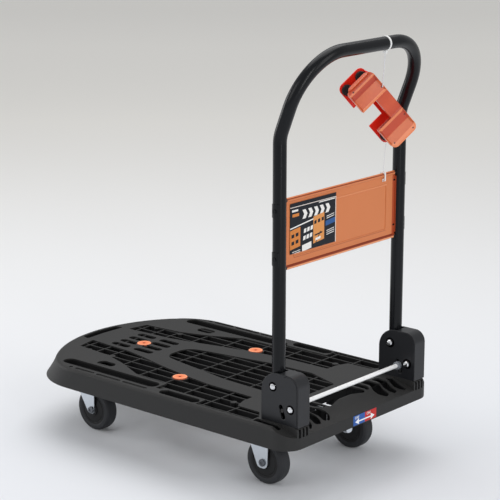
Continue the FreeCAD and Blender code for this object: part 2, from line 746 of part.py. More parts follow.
def make_release_bar():
    reach = "(Sizes.tube_spacing / 2 + Sizes.bracket_width / 2 - 1)"
    radius = "Sizes.release_radius"
    profile = [("0", "-" + reach), (radius + " - 1", "-" + reach), (radius, "-%s + 1" % reach),
               (radius, reach + " - 1"), (radius + " - 1", reach), ("0", reach)]
    turned("release_bar", profile, [("Sizes.release_x", "0", "Sizes.release_height")], LYING)
    face = "(Sizes.tube_spacing / 2 - Sizes.bracket_width / 2 - %s)" % REST_GAP
    collar = [(radius, face + " - 9"), (radius + " + 3.2", face + " - 9"),
              (radius + " + 4", face + " - 8"),
              (radius + " + 4", face), (radius, face)]
    turned("release_collars", collar, [("Sizes.release_x", "0", "Sizes.release_height", LYING),
                                       ("Sizes.release_x", "0", "Sizes.release_height", LYING_RIGHT)])


def make_release_springs():
    """Coil springs between each bracket's floor and the bar."""
    foot = deck_top() + size("bracket_wall")
    wire = 0.9
    tall = size("release_height") - size("release_radius") - foot - 2 * wire - REST_GAP
    coil = 5.2
    springs = []
    beside = size("tube_spacing") / 2 - 8.5
    for y in (beside, -beside):
        helix = Part.makeHelix(tall / 5, tall, coil)
        ring = Part.Wire(Part.makeCircle(wire, vec(coil, 0, 0), vec(0, 1, 0)))
        spring = Part.Wire(helix.Edges).makePipeShell([ring], True, True)
        spring.translate(vec(size("release_x") + 2.5, y, foot + wire + 0.1))
        springs.append(spring)
    shaped("release_springs", Part.makeCompound(springs))


# ---------------------------------------------------------------- casters

def leg_outline(boss, lean_out, rear_top):
    """Side view of a fork leg round the axle, from boss to crown."""
    crown = crown_height()
    axle = size("wheel_radius")
    return [(-boss, axle - boss, boss * 0.98), (boss, axle - boss, boss * 0.98),
            (lean_out - 4, axle + 32, 30), (lean_out + 4, crown, 0), (-rear_top, crown, 0)]


def make_fork(label, axle_x, y, boss, lean_out, rear_top, swivels):
    crown = crown_height()
    sheet_t = size("fork_sheet")
    inner = size("hub_width") / 2 + size("hub_gap")
    outer = inner + sheet_t
    outline = [(axle_x + px, pz, r) for px, pz, r in leg_outline(boss, lean_out, rear_top)]
    outline[3] = (outline[3][0], crown + sheet_t, 0)
    outline[4] = (outline[4][0], crown + sheet_t, 0)
    legs = [cheek(outline, y + inner, y + outer), cheek(outline, y - outer, y - inner)]
    trail = size("swivel_trail")
    if swivels:
        radius = size("race_radius") + size("ball_radius") + 4
        top = Part.makeCylinder(radius, sheet_t, vec(axle_x + trail, y, crown))
        bridge = box(axle_x - rear_top, axle_x + trail, y - outer, y + outer, crown, crown + sheet_t)
        parts = [top, bridge]
    else:
        front = axle_x + lean_out + 4
        riser = axle_x + trail / 2
        parts = [box(axle_x - rear_top, front, y - outer, y + outer, crown, crown + sheet_t),
                 box(riser - 20, riser + 20, y - outer, y + outer, crown, size("deck_underside"))]
    fork = legs[0].multiFuse(legs[1:] + parts)
    axle = size("wheel_radius")
    hole = rod(size("axle_radius"), vec(axle_x, y - 60, axle), vec(axle_x, y + 60, axle))
    cuts = [hole]
    if swivels:
        middle = vec(axle_x + trail, y, 0)
        cuts.append(Part.makeCylinder(size("kingpin_radius") + size("kingpin_play"), 300, middle))
        groove = Part.makeTorus(size("race_radius"), size("ball_radius") + size("ball_play"),
                                middle + vec(0, 0, ball_height()))
        seat = crown + sheet_t - 0.5
        race = size("race_radius") + size("ball_radius") + 2
        ring = Part.makeCylinder(race, ball_height() - 0.8 - seat, middle + vec(0, 0, seat))
        fork = fork.fuse(ring)
        cuts.append(groove)
    fork = cut_all(fork, cuts)
    if not swivels:
        hollow = box(riser - 20 + sheet_t, riser + 20 - sheet_t, y - 60, y + 60,
                     crown + sheet_t, size("deck_underside") - sheet_t)
        fork = fork.cut(hollow)
    shaped(label, fork)


def ball_height():
    return (crown_height() + size("fork_sheet") + size("deck_underside")) / 2


def top_plate(x, y):
    long, wide = size("plate_length") / 2, size("plate_width") / 2
    plate = slab([(x - long, y - wide, 8), (x + long, y - wide, 8), (x + long, y + wide, 8),
                  (x - long, y + wide, 8)], size("deck_underside"), plate_top())
    holes = [Part.makeCylinder(size("screw_radius") + size("screw_play"), 60, vec(x + dx, y + dy, 100))
             for dx, dy in screw_offsets()]
    return cut_all(plate, holes)


def make_top_plates():
    """Steel plates under the deck; the rear ones carry the upper ball race and the hollow kingpin."""
    spots = caster_spots()
    for side, (x, y) in zip(("left", "right"), spots[:2]):
        middle = vec(x, y, 0)
        cup_low = ball_height() + 0.8
        cup = Part.makeCylinder(size("race_radius") + size("ball_radius") + 3,
                                size("deck_underside") - cup_low, middle + vec(0, 0, cup_low))
        pin_foot = crown_height() - 2.6
        foot = middle + vec(0, 0, pin_foot)
        pin = Part.makeCylinder(size("kingpin_radius"), plate_top() - pin_foot, foot)
        head = Part.makeCylinder(size("kingpin_radius") + 4, 2.4, middle + vec(0, 0, pin_foot - 0.1))
        bore = Part.makeCylinder(size("plunger_radius") + size("plunger_play"), 300, middle)
        groove = Part.makeTorus(size("race_radius"), size("ball_radius") + size("ball_play"),
                                middle + vec(0, 0, ball_height()))
        plate = top_plate(x, y).multiFuse([cup, pin, head])
        shaped("rear_plate_" + side, cut_all(plate, [bore, groove]))
    shaped("front_plates", Part.makeCompound([top_plate(x, y) for x, y in spots[2:]]))


def make_swivel_balls():
    count = 14
    for side, y in (("left", 1), ("right", -1)):
        kingpin = size("rear_axle_x") + size("swivel_trail")
        middle = vec(kingpin, y * size("wheel_track") / 2, ball_height())
        balls = []
        for k in range(count):
            turn = 2 * math.pi * k / count
            offset = vec(size("race_radius") * math.cos(turn), size("race_radius") * math.sin(turn))
            balls.append(Part.makeSphere(size("ball_radius"), middle + offset))
        shaped("swivel_balls_" + side, Part.makeCompound(balls))


def make_caster_screws():
    under = "Sizes.deck_underside"
    shank = "Sizes.screw_radius"
    profile = [("0", "0"), ("Sizes.screw_radius + 2.6", "0"), ("Sizes.screw_radius + 2.6", "2.4"),
               (shank, "2.4"), (shank, "19"), ("0", "19")]
    long, wide = "(Sizes.plate_length / 2 - 12)", "(Sizes.plate_width / 2 - 12)"
    for end, middle in (("rear", KINGPIN_X), ("front", "(Sizes.front_axle_x + Sizes.swivel_trail / 2)")):
        spots = [("%s %s %s" % (middle, sx, long), "%s%s %s %s" % (side, HALF_TRACK, sy, wide),
                  under + " - 2.4")
                 for side in ("", "-") for sx in "+-" for sy in "+-"]
        turned(end + "_caster_screws", profile, spots)


WHEELS = {"rear_left": ("Sizes.rear_axle_x", HALF_TRACK),
          "rear_right": ("Sizes.rear_axle_x", "-" + HALF_TRACK),
          "front_left": ("Sizes.front_axle_x", HALF_TRACK),
          "front_right": ("Sizes.front_axle_x", "-" + HALF_TRACK)}


def make_wheels():
    tread, core = "Sizes.wheel_radius", "Sizes.core_radius"
    wide = "(Sizes.tyre_width / 2)"
    boss = "(Sizes.hub_width / 2)"
    bush_inner = "(Sizes.axle_radius + Sizes.axle_play)"
    bush_outer = "(Sizes.axle_radius + Sizes.bush_wall)"
    tyre = [(core, "-%s + 1" % wide), (core + " + 3", "-" + wide), (tread + " - 5", "-" + wide),
            (tread + " - 1.4", "-%s + 3" % wide), (tread, "-%s + 8" % wide), (tread, wide + " - 8"),
            (tread + " - 1.4", wide + " - 3"), (tread + " - 5", wide), (core + " + 3", wide),
            (core, wide + " - 1")]
    web, rim = "5", "(Sizes.core_radius - 5)"
    hub = [(bush_outer, "-" + boss), (bush_outer + " + 6", "-" + boss), (bush_outer + " + 8", "-" + web),
           (rim, "-" + web), (rim, "-%s + 2" % wide), (core, "-%s + 1" % wide),
           (core, wide + " - 1"), (rim, wide + " - 2"), (rim, web), (bush_outer + " + 8", web),
           (bush_outer + " + 6", boss), (bush_outer, boss)]
    bush = [(bush_inner, "-" + boss), (bush_outer, "-" + boss), (bush_outer, boss), (bush_inner, boss)]
    out = "(%s + Sizes.fork_sheet)" % FORK_HALF
    axle = [("0", "-%s - 6" % out), ("Sizes.axle_radius", "-%s - 6" % out), ("Sizes.axle_radius", out),
            ("Sizes.axle_radius + 3", out), ("Sizes.axle_radius + 3", out + " + 3.2"),
            ("Sizes.axle_radius + 2", out + " + 4"), ("3", out + " + 4"), ("2.4", out + " + 2.4"),
            ("0", out + " + 2.4")]
    nut = [("Sizes.axle_radius", "-" + out), ("Sizes.axle_radius + 3.4", "-" + out),
           ("Sizes.axle_radius + 3.4", "-%s - 4" % out), ("Sizes.axle_radius + 2", "-%s - 5" % out),
           ("Sizes.axle_radius", "-%s - 5" % out)]
    for name, (x, y) in WHEELS.items():
        spot = [(x, y, "Sizes.wheel_radius")]
        turned("tyre_" + name, tyre, spot, LYING)
        turned("wheel_core_" + name, hub, spot, LYING)
        turned("wheel_bush_" + name, bush, spot, LYING)
    left, right = LYING, LYING_RIGHT
    for side, name, turn in (("left", "rear_left", left), ("right", "rear_right", right)):
        x, y = WHEELS[name]
        turned("axle_rear_" + side, axle, [(x, y, "Sizes.wheel_radius")], turn)
        turned("axle_nut_rear_" + side, nut, [(x, y, "Sizes.wheel_radius")], turn)
    spots = [WHEELS["front_left"] + ("Sizes.wheel_radius", left),
             WHEELS["front_right"] + ("Sizes.wheel_radius", right)]
    turned("axles_front", axle, spots)
    turned("axle_nuts_front", nut, spots)


# ---------------------------------------------------------------- handle

def lean():
    return math.radians(size("lean_angle"))


def on_lean(reach, y, out=0.0):
    """A point of the leaning grip: reach up from the bend, y across and out behind the tube's middle."""
    turn = lean()
    return vec(size("tube_x") - reach * math.sin(turn) - out * math.cos(turn), y,
               size("bend_height") + reach * math.cos(turn) - out * math.sin(turn))


def arc_between(corner, before, after, radius):
    back = (before - corner).normalize()
    ahead = (after - corner).normalize()
    half = back.getAngle(ahead) / 2
    cut = radius / math.tan(half)
    middle = corner + (back + ahead).normalize() * (radius / math.sin(half) - radius)
    return corner + back * cut, middle, corner + ahead * cut


def handle_line():
    """Centre line of the handle tube, from the left leg's end to the right leg's end."""
    half = size("tube_spacing") / 2
    foot = deck_top() + size("leg_clearance")
    points = [vec(size("tube_x"), half, foot), on_lean(0, half), on_lean(size("grip_reach"), half),
              on_lean(size("grip_reach"), -half), on_lean(0, -half), vec(size("tube_x"), -half, foot)]
    radii = [size("bend_radius"), size("grip_corner"), size("grip_corner"), size("bend_radius")]
    edges = []
    last = points[0]
    for i, radius in enumerate(radii, 1):
        start, middle, end = arc_between(points[i], points[i - 1], points[i + 1], radius)
        edges.append(Part.LineSegment(last, start).toShape())
        edges.append(Part.Arc(start, middle, end).toShape())
        last = end
    edges.append(Part.LineSegment(last, points[-1]).toShape())
    return Part.Wire(edges), points[0]


def make_handle_tube():
    line, foot = handle_line()

    def swept(radius):
        ring = Part.Wire(Part.makeCircle(radius, foot, Z))
        return line.makePipeShell([ring], True, False)

    radius = size("tube_radius")
    tube = swept(radius).cut(swept(radius - size("tube_wall")))
    bush = size("bolt_radius") + size("pivot_play") + 2
    height = size("pivot_height")
    holes = []
    for side in (-1, 1):
        y = side * size("tube_spacing") / 2
        holes.append(rod(bush, vec(size("tube_x"), y - 30, height), vec(size("tube_x"), y + 30, height)))
        for z in panel_screw_heights():
            holes.append(rod(size("screw_radius") - 1, vec(size("tube_x"), y - side * 30, z),
                             vec(size("tube_x"), y + side * 30, z)))
    shaped("handle_tube", cut_all(tube, holes))


def make_pivot_bushes():
    inner = "(Sizes.bolt_radius + Sizes.pivot_play)"
    outer = inner + " + 2"
    face = "(Sizes.bracket_width / 2 - Sizes.bracket_wall - %s)" % REST_GAP
    profile = [(inner, "-" + face), (outer, "-" + face), (outer, face), (inner, face)]
    turned("pivot_bushes", profile, [("Sizes.tube_x", HALF_SPACING, "Sizes.pivot_height"),
                                     ("Sizes.tube_x", "-" + HALF_SPACING, "Sizes.pivot_height")], LYING)


def make_end_plugs():
    """Plastic plugs that close the lower ends of the legs."""
    bore = "(Sizes.tube_radius - Sizes.tube_wall)"
    foot = DECK_TOP + " + Sizes.leg_clearance"
    profile = [("0", "-2"), (bore + " - 1", "-2"), ("Sizes.tube_radius - 0.5", "-1"),
               ("Sizes.tube_radius - 0.5", "0"),
               (bore, "0"), (bore, "18"), (bore + " - 2", "18"), (bore + " - 2", "1"), ("0", "1")]
    turned("tube_end_plugs", profile, [("Sizes.tube_x", HALF_SPACING, foot),
                                       ("Sizes.tube_x", "-" + HALF_SPACING, foot)])


def panel_screw_heights():
    low, high = size("panel_low"), size("panel_high")
    return [low + 29, high - 21]


def make_panel():
    """Steel panel between the legs: rolled upper and lower edges, side flanges and a pressed frame."""
    radius, hole = size("hem_radius"), size("hem_hole")
    sheet_t = size("panel_sheet")
    x = size("tube_x")
    low, high = size("panel_low") + radius, size("panel_high") - radius
    half = size("tube_spacing") / 2 - size("tube_radius") - size("panel_gap")
    plate = box(x - sheet_t / 2, x + sheet_t / 2, -half, half, low, high)
    parts = [box(x - 4, x - 4 + size("flange_depth"), side * half - (sheet_t if side > 0 else 0),
                 side * half + (0 if side > 0 else sheet_t), low + 8, high - 8) for side in (-1, 1)]
    for z in (low, high):
        parts.append(rod(radius, vec(x, -half, z), vec(x, half, z)))
    frame_y, frame_low, frame_high = half - 30, low + 17, high - 22
    frame = slab([(frame_low, -frame_y, 5), (frame_high, -frame_y, 5), (frame_high, frame_y, 5),
                  (frame_low, frame_y, 5)], 0, 1.0)
    frame = frame.cut(slab([(frame_low + 3, -frame_y + 3, 3), (frame_high - 3, -frame_y + 3, 3),
                            (frame_high - 3, frame_y - 3, 3), (frame_low + 3, frame_y - 3, 3)], -1, 2))
    frame.rotate(vec(0, 0, 0), Y, -90)
    frame.translate(vec(x - sheet_t / 2, 0, 0))
    panel = plate.multiFuse(parts + [frame])
    cuts = [rod(hole, vec(x, -half - 1, z), vec(x, half + 1, z)) for z in (low, high)]
    hole = vec(x, panel_tie_y(), panel_tie_height())
    cuts.append(rod(3.5, hole - vec(20, 0, 0), hole + vec(20, 0, 0)))
    for side in (-1, 1):
        for z in panel_screw_heights():
            hole = vec(x, side * half, z)
            cuts.append(rod(size("screw_radius") - 1, hole - vec(0, 6, 0), hole + vec(0, 6, 0)))
    shaped("handle_panel", cut_all(panel, cuts))


def panel_tie_y():
    return -(size("tube_spacing") / 2 - 57)


def panel_tie_height():
    return size("panel_high") - 16


def make_panel_screws():
    """Screws through the legs into the panel's flanges, with a saddle washer under each head."""
    radius = size("tube_radius")
    shank = size("screw_radius") - 1
    screws, saddles = [], []
    for side in (-1, 1):
        y = side * size("tube_spacing") / 2
        inner = y - side * (radius + size("panel_gap") + size("panel_sheet") + 3)
        for z in panel_screw_heights():
            face = y + side * (radius + 1.6)
            x = size("tube_x")
            shaft = rod(shank, vec(x, inner, z), vec(x, face, z))
            head = rod(shank + 2.2, vec(x, face, z), vec(x, face + side * 1.8, z))
            screws.append(shaft.fuse(head))
            band = Part.makeCylinder(radius + 1.6, 28, vec(x, y, z - 14)).cut(
                Part.makeCylinder(radius, 40, vec(x, y, z - 20)))
            window = box(x - 9, x + 9, min(y, y + side * 40), max(y, y + side * 40), z - 14, z + 14)
            band = band.common(window).cut(rod(shank, vec(x, y - 40, z), vec(x, y + 40, z)))
            flat = rod(shank + 3, vec(x, y + side * (radius - 4), z), vec(x, face, z)).cut(
                Part.makeCylinder(radius, 40, vec(x, y, z - 20))).cut(
                rod(shank, vec(x, y - 40, z), vec(x, y + 40, z)))
            saddles.append(band.fuse(flat))
    shaped("panel_screws", Part.makeCompound(screws))
    shaped("panel_saddles", Part.makeCompound(saddles))


def make_panel_label():
    body = new_body("panel_label")
    sketch = new_sketch(body, "YZ_Plane", "label_outline")
    middle = "(Sizes.panel_high + Sizes.panel_low) / 2 + 8"
    rectangle(sketch, "20", "20 + Sizes.label_width", middle + " - Sizes.label_height / 2",
              middle + " + Sizes.label_height / 2")
    pad(body, sketch, str(LABEL_FILM))
    place(body, "Sizes.tube_x - Sizes.panel_sheet / 2 - 1 - %s" % LABEL_FILM, "0", "0")
    nodes.append(body)


def make_brake_label():
    """Two-colour sticker on the lip, over the brake tab."""
    body = new_body("brake_label")
    sketch = new_sketch(body, "YZ_Plane", "sticker_outline")
    low = "Sizes.deck_underside + 2"
    rectangle(sketch, "-45", "35", low, low + " + 21.5")
    pad(body, sketch, str(LABEL_FILM))
    place(body, "-%s" % LABEL_FILM, "0", "0")
    nodes.append(body)


# ---------------------------------------------------------------- wheel stop and its ties

def grip_bar():
    return on_lean(size("grip_reach"), 0)


def tie_ring():
    """Where the cable tie goes round the grip bar, and where its knot hangs."""
    bar = grip_bar()
    return vec(bar.x, -54, bar.z), vec(bar.x, -54, bar.z - size("tube_radius") - TIE_WALL)


def make_cable_tie():
    ring, _ = tie_ring()
    radius = size("tube_radius")
    across = vec(0, 2.4, 0)
    bar = rod(radius, ring - across * 2, ring + across * 2)
    band = rod(radius + TIE_WALL, ring - across, ring + across)
    under = ring.z - radius
    head = box(ring.x - 4, ring.x + 4, ring.y - 3.2, ring.y + 3.2, under - 6.5, under - TIE_WALL / 2)
    shaped("cable_tie", band.fuse(head).cut(bar))


def stop_frame():
    """Placement of the wheel stop: its own x runs over both jaws, y towards their tips, z to the back."""
    along = vec(-0.30, -0.60, -0.743).normalize()
    back = vec(0.877, -0.478, 0.042)
    back = (back - along * back.dot(along)).normalize()
    reach = back.cross(along)
    corner = on_lean(size("grip_reach"), 0) + vec(38.7, -57.4, -59.0)
    matrix = FreeCAD.Matrix(along.x, reach.x, back.x, corner.x,
                            along.y, reach.y, back.y, corner.y,
                            along.z, reach.z, back.z, corner.z,
                            0, 0, 0, 1)
    return FreeCAD.Placement(matrix)


def stop_hole_spots():
    return [(size("stop_jaw") - 12, 4), (size("stop_length") - size("stop_jaw") + 16, 4)]


def stop_pad_spots():
    edge = size("stop_pad_radius") + 3
    far = size("stop_reach") - size("stop_pad_radius") - 2
    return [(x, y) for x in (edge + 2, size("stop_length") - edge - 2) for y in (edge + 1, far)]


def make_wheel_stop():
    """A channel bent from sheet: two jaws joined by a bridge, open towards the jaw tips."""
    long, jaw, reach = size("stop_length"), size("stop_jaw"), size("stop_reach")
    bridge, depth, sheet_t = size("stop_bridge"), size("stop_depth"), size("stop_sheet")
    outline = [(0, 0, 14), (long, 0, 14), (long, reach, 14), (long - jaw, reach, 5),
               (long - jaw, bridge, 3), (jaw, bridge, 3), (jaw, reach, 5), (0, reach, 14)]
    front = slab(outline, 0, sheet_t)
    back = slab(outline, depth - sheet_t, depth)
    spine = box(14, long - 14, 0, sheet_t, 0, depth)
    lips = []
    for x0 in (jaw - sheet_t, long - jaw):
        lips.append(box(x0, x0 + sheet_t, bridge - 1, reach - 8, 0, 9))
    stop = front.multiFuse([back, spine] + lips)
    cuts = [Part.makeCylinder(2.2, 20, vec(x, y, -10)) for x, y in stop_hole_spots()]
    cuts.append(Part.makeCylinder(2.2, 20, vec(long - 6, reach - 10, depth - 10)))
    stop = cut_all(stop, cuts)
    high = size("stop_pad_height")
    pads = [Part.makeCylinder(size("stop_pad_radius"), high, vec(x, y, depth - sheet_t - high))
            for x, y in stop_pad_spots()]
    pads = [p.makeFillet(1.2, [e for e in p.Edges if e.BoundBox.ZMax < depth - sheet_t - 1 and e.Closed])
            for p in pads]
    frame = stop_frame()
    for label, shape in (("wheel_stop", stop), ("wheel_stop_pads", Part.makeCompound(pads))):
        shape.Placement = frame
        shaped(label, shape)


def bent_line(points, radius):
    """Round line through three points, with one large arc at the middle one."""
    start, middle, end = points
    run = min((middle - start).Length, (end - middle).Length)
    half = (start - middle).getAngle(end - middle) / 2
    arc_radius = 0.45 * run * math.tan(half)
    a, b, c = arc_between(middle, start, end, arc_radius)
    print("line bend radius %.1f" % arc_radius)
    path = Part.Wire([Part.LineSegment(start, a).toShape(), Part.Arc(a, b, c).toShape(),
                      Part.LineSegment(c, end).toShape()])
    ring = Part.Wire(Part.makeCircle(radius, start, a - start))
    return path.makePipeShell([ring], True, False)


def make_hanging_lines():
    """Thin nylon lines: grip tie to the stop's upper hole, and its lower corner to the panel."""
    frame = stop_frame()
    x, y = stop_hole_spots()[0]
    hole = frame.multVec(vec(x, y, -0.8))
    _, knot = tie_ring()
    top = knot + vec(0, 0, -6)
    upper = [top, (top + hole) * 0.5 + vec(-0.8, 0.6, 0), hole]
    tip = size("stop_reach") - 10
    corner = frame.multVec(vec(size("stop_length") - 6, tip, size("stop_depth") + 0.8))
    loop = vec(size("tube_x"), panel_tie_y(), size("panel_high") + 4.5)
    lower = [corner, (corner + loop) * 0.5 + vec(-0.8, 0.6, 0), loop]
    shaped("line_upper", bent_line(upper, 1.2))
    shaped("line_lower", bent_line(lower, 0.7))


def make_panel_tie():
    """White loop through the panel's hole and round its upper edge."""
    x, y = size("tube_x"), panel_tie_y()
    top, low = size("panel_high"), panel_tie_height()
    half = size("hem_radius")
    outer = [(x - half - 1.8, low - 2, 3), (x + half + 1.8, low - 2, 3), (x + half + 1.8, top + 4, 5),
             (x - half - 1.8, top + 4, 5)]
    inner = [(x - half - 0.2, low, 1.5), (x + half + 0.2, low, 1.5), (x + half + 0.2, top + 0.4, 4),
             (x - half - 0.2, top + 0.4, 4)]
    shaped("panel_tie", cheek(outer, y - 2, y + 2).cut(cheek(inner, y - 3, y + 3)))


# ---------------------------------------------------------------- brake

RAMP_LEAD = 12


def cheek_across(points, x0, x1):
    """Outline in end view, y and z, between two values of x."""
    wire = Part.makePolygon([vec(x0, py, pz) for py, pz in points + points[:1]])
    return Part.Face(wire).extrude(vec(x1 - x0, 0, 0))


def ramp_drop(ahead):
    """How far a ramp's lower face is under the slide, at a distance ahead of its plunger."""
    return 2.2 + size("brake_drop") / size("brake_travel") * ahead


def make_brake_slide():
    """A slide across the rear casters; its ramps push a plunger down through each hollow kingpin."""
    under, _ = brake_levels()
    over = under + size("brake_sheet")
    bar_x = size("rear_axle_x")
    kingpin = bar_x + size("swivel_trail")
    half = size("brake_bar_width") / 2
    track = size("wheel_track") / 2
    tab_y = size("brake_tab_y")
    tab_x = size("deck_skirt") + 4
    foot = size("deck_underside") - 13
    outline = [(foot, tab_y - 9, 6), (over, tab_y - 9, 0), (over, tab_y + 9, 0), (foot, tab_y + 9, 6)]
    tab = slab(outline, 0, size("brake_sheet"))
    tab.rotate(vec(0, 0, 0), Y, -90)
    tab.translate(vec(tab_x + size("brake_sheet"), 0, 0))
    plates = [box(bar_x - half, bar_x + half, -track - RAMP_LEAD, track + RAMP_LEAD, under, over),
              box(tab_x, bar_x, tab_y - 9, tab_y + 9, under, over)]
    for side in (-1, 1):
        y = side * track
        back, ahead = -RAMP_LEAD, RAMP_LEAD + size("brake_travel")
        plates.append(box(bar_x, kingpin + 10, y + back, y + ahead, under, over))
        ramp = [(y + back, under), (y + ahead, under), (y + ahead, under - ramp_drop(ahead)),
                (y + back, under - ramp_drop(back))]
        plates.append(cheek_across(ramp, kingpin - 6, kingpin + 6))
    shaped("brake_slide", tab.multiFuse(plates))


def make_plungers():
    """Plungers in the hollow kingpins, just clear of the tyres when the brake is off."""
    under, _ = brake_levels()
    tip = 2.5
    top = under - ramp_drop(tip) - REST_GAP
    tread = math.sqrt(size("wheel_radius") ** 2 - (size("swivel_trail") - size("plunger_radius")) ** 2)
    foot = size("wheel_radius") + tread + size("brake_drop") + 0.5
    radius = size("plunger_radius")
    for side, y in (("left", 1), ("right", -1)):
        middle = vec(size("rear_axle_x") + size("swivel_trail"), y * size("wheel_track") / 2, 0)
        stem = Part.makeCylinder(radius, top - 2 - foot, middle + vec(0, 0, foot))
        collar = Part.makeCylinder(radius + 4, 3, middle + vec(0, 0, top - 5))
        nose = Part.makeCylinder(tip, 4, middle + vec(0, 0, top - 4))
        shaped("brake_plunger_" + side, stem.multiFuse([collar, nose]))


def make_brake_guides():
    """Bridges under the slide, screwed up against the deck's ribs."""
    under, roof = brake_levels()
    sheet_t = size("brake_sheet") - 1
    bar_x = size("rear_axle_x")
    half = size("brake_bar_width") / 2 + REST_GAP
    guides = []
    for y in (-2 * size("rib_pitch"), 2 * size("rib_pitch")):
        outside = box(bar_x - half - sheet_t, bar_x + half + sheet_t, y - 7, y + 7,
                      under - REST_GAP - sheet_t, roof)
        inside = box(bar_x - half, bar_x + half, y - 8, y + 8, under - REST_GAP, roof + 1)
        guides.append(outside.cut(inside))
    shaped("brake_guides", Part.makeCompound(guides))


def trough():
    """Room inside the deck for the slide, its tab and the plungers."""
    under, roof = brake_levels()
    floor = plate_top() + size("deck_plate")
    bar_x = size("rear_axle_x")
    half = size("brake_bar_width") / 2 + 6
    reach = size("wheel_track") / 2 + RAMP_LEAD + size("brake_travel") + 2
    kingpin = bar_x + size("swivel_trail")
    across = box(bar_x - half, kingpin + 16, -reach, reach, floor, roof)
    bosses = [Part.makeCylinder(size("screw_radius") + 3, under - 4 - floor, vec(x + dx, y + dy, floor))
              for x, y in caster_spots()[:2] for dx, dy in screw_offsets()]
    across = cut_all(across, bosses)
    tab = size("brake_tab_y")
    along = box(size("deck_skirt") + 1, bar_x, tab - 12 - size("brake_travel"), tab + 12,
                size("deck_underside"), roof)
    return [across, along.cut(above_slope(size("deck_plate")))]


# ---------------------------------------------------------------- the whole cart

def is_broken(feature):
    return bool({"Invalid", "Error"} & set(feature.State))


def check_and_write():
    doc.recompute()
    broken = [o.Label for o in doc.Objects if is_broken(o)]
    if broken:
        raise RuntimeError("failed objects: " + ", ".join(broken))
    for feature in nodes:
        if feature.Shape.isNull() or not feature.Shape.isValid():
            raise RuntimeError("bad shape: " + feature.Label)
    for feature in nodes:
        feature.Shape.exportStep("parts/%s.step" % feature.Label)
    print("%d nodes" % len(nodes))


make_deck()
make_discs()
make_bracket("bracket_left", 1)
make_bracket("bracket_right", -1)
make_bracket_bolts()
make_spacers()
make_bracket_screws()
make_release_bar()
make_release_springs()
make_fork("fork_rear_left", size("rear_axle_x"), size("wheel_track") / 2, 13, 36, 15, True)
make_fork("fork_rear_right", size("rear_axle_x"), -size("wheel_track") / 2, 13, 36, 15, True)
make_fork("fork_front_left", size("front_axle_x"), size("wheel_track") / 2, 9, 38, 10, False)
make_fork("fork_front_right", size("front_axle_x"), -size("wheel_track") / 2, 9, 38, 10, False)
make_top_plates()
make_swivel_balls()
make_caster_screws()
make_wheels()
make_handle_tube()
make_pivot_bushes()
make_end_plugs()
make_panel()
make_panel_screws()
make_panel_label()
make_brake_label()
make_cable_tie()
make_wheel_stop()
make_hanging_lines()
make_panel_tie()
make_brake_slide()
make_plungers()
make_brake_guides()
check_and_write()
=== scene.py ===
import json
import math
import bpy
from mathutils import Matrix, Vector


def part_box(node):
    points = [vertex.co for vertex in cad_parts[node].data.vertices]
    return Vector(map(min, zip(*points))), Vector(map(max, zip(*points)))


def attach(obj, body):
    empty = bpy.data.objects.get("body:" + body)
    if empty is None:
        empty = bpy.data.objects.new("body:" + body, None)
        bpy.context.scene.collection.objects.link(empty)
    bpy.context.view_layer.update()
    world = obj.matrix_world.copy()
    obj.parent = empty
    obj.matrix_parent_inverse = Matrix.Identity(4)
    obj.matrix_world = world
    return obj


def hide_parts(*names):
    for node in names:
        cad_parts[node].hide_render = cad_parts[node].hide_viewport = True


hair = 0.00001  # points and planes nearer than this count as touching

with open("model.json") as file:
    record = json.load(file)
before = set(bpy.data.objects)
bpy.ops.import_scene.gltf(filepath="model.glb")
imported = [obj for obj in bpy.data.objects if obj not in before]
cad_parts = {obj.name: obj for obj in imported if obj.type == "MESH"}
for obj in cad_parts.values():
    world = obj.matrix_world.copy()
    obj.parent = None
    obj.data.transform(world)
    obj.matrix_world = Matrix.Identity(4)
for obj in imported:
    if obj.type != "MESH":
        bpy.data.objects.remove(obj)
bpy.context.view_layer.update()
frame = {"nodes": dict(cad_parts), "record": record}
nodes = frame["nodes"]
print("frame loaded:", len(nodes), "nodes")


class Value:  # wraps a socket, so that shader maths reads as an expression
    def __init__(self, graph, socket):
        self.graph = graph
        self.socket = socket

    def __add__(self, other):
        return self.graph.math("ADD", self, other)

    def __radd__(self, other):
        return self.graph.math("ADD", other, self)

    def __sub__(self, other):
        return self.graph.math("SUBTRACT", self, other)

    def __rsub__(self, other):
        return self.graph.math("SUBTRACT", other, self)

    def __mul__(self, other):
        return self.graph.math("MULTIPLY", self, other)

    def __rmul__(self, other):
        return self.graph.math("MULTIPLY", other, self)

    def __truediv__(self, other):
        return self.graph.math("DIVIDE", self, other)

    def __rtruediv__(self, other):
        return self.graph.math("DIVIDE", other, self)

    def __lt__(self, other):
        return self.graph.math("LESS_THAN", self, other)

    def __gt__(self, other):
        return self.graph.math("GREATER_THAN", self, other)


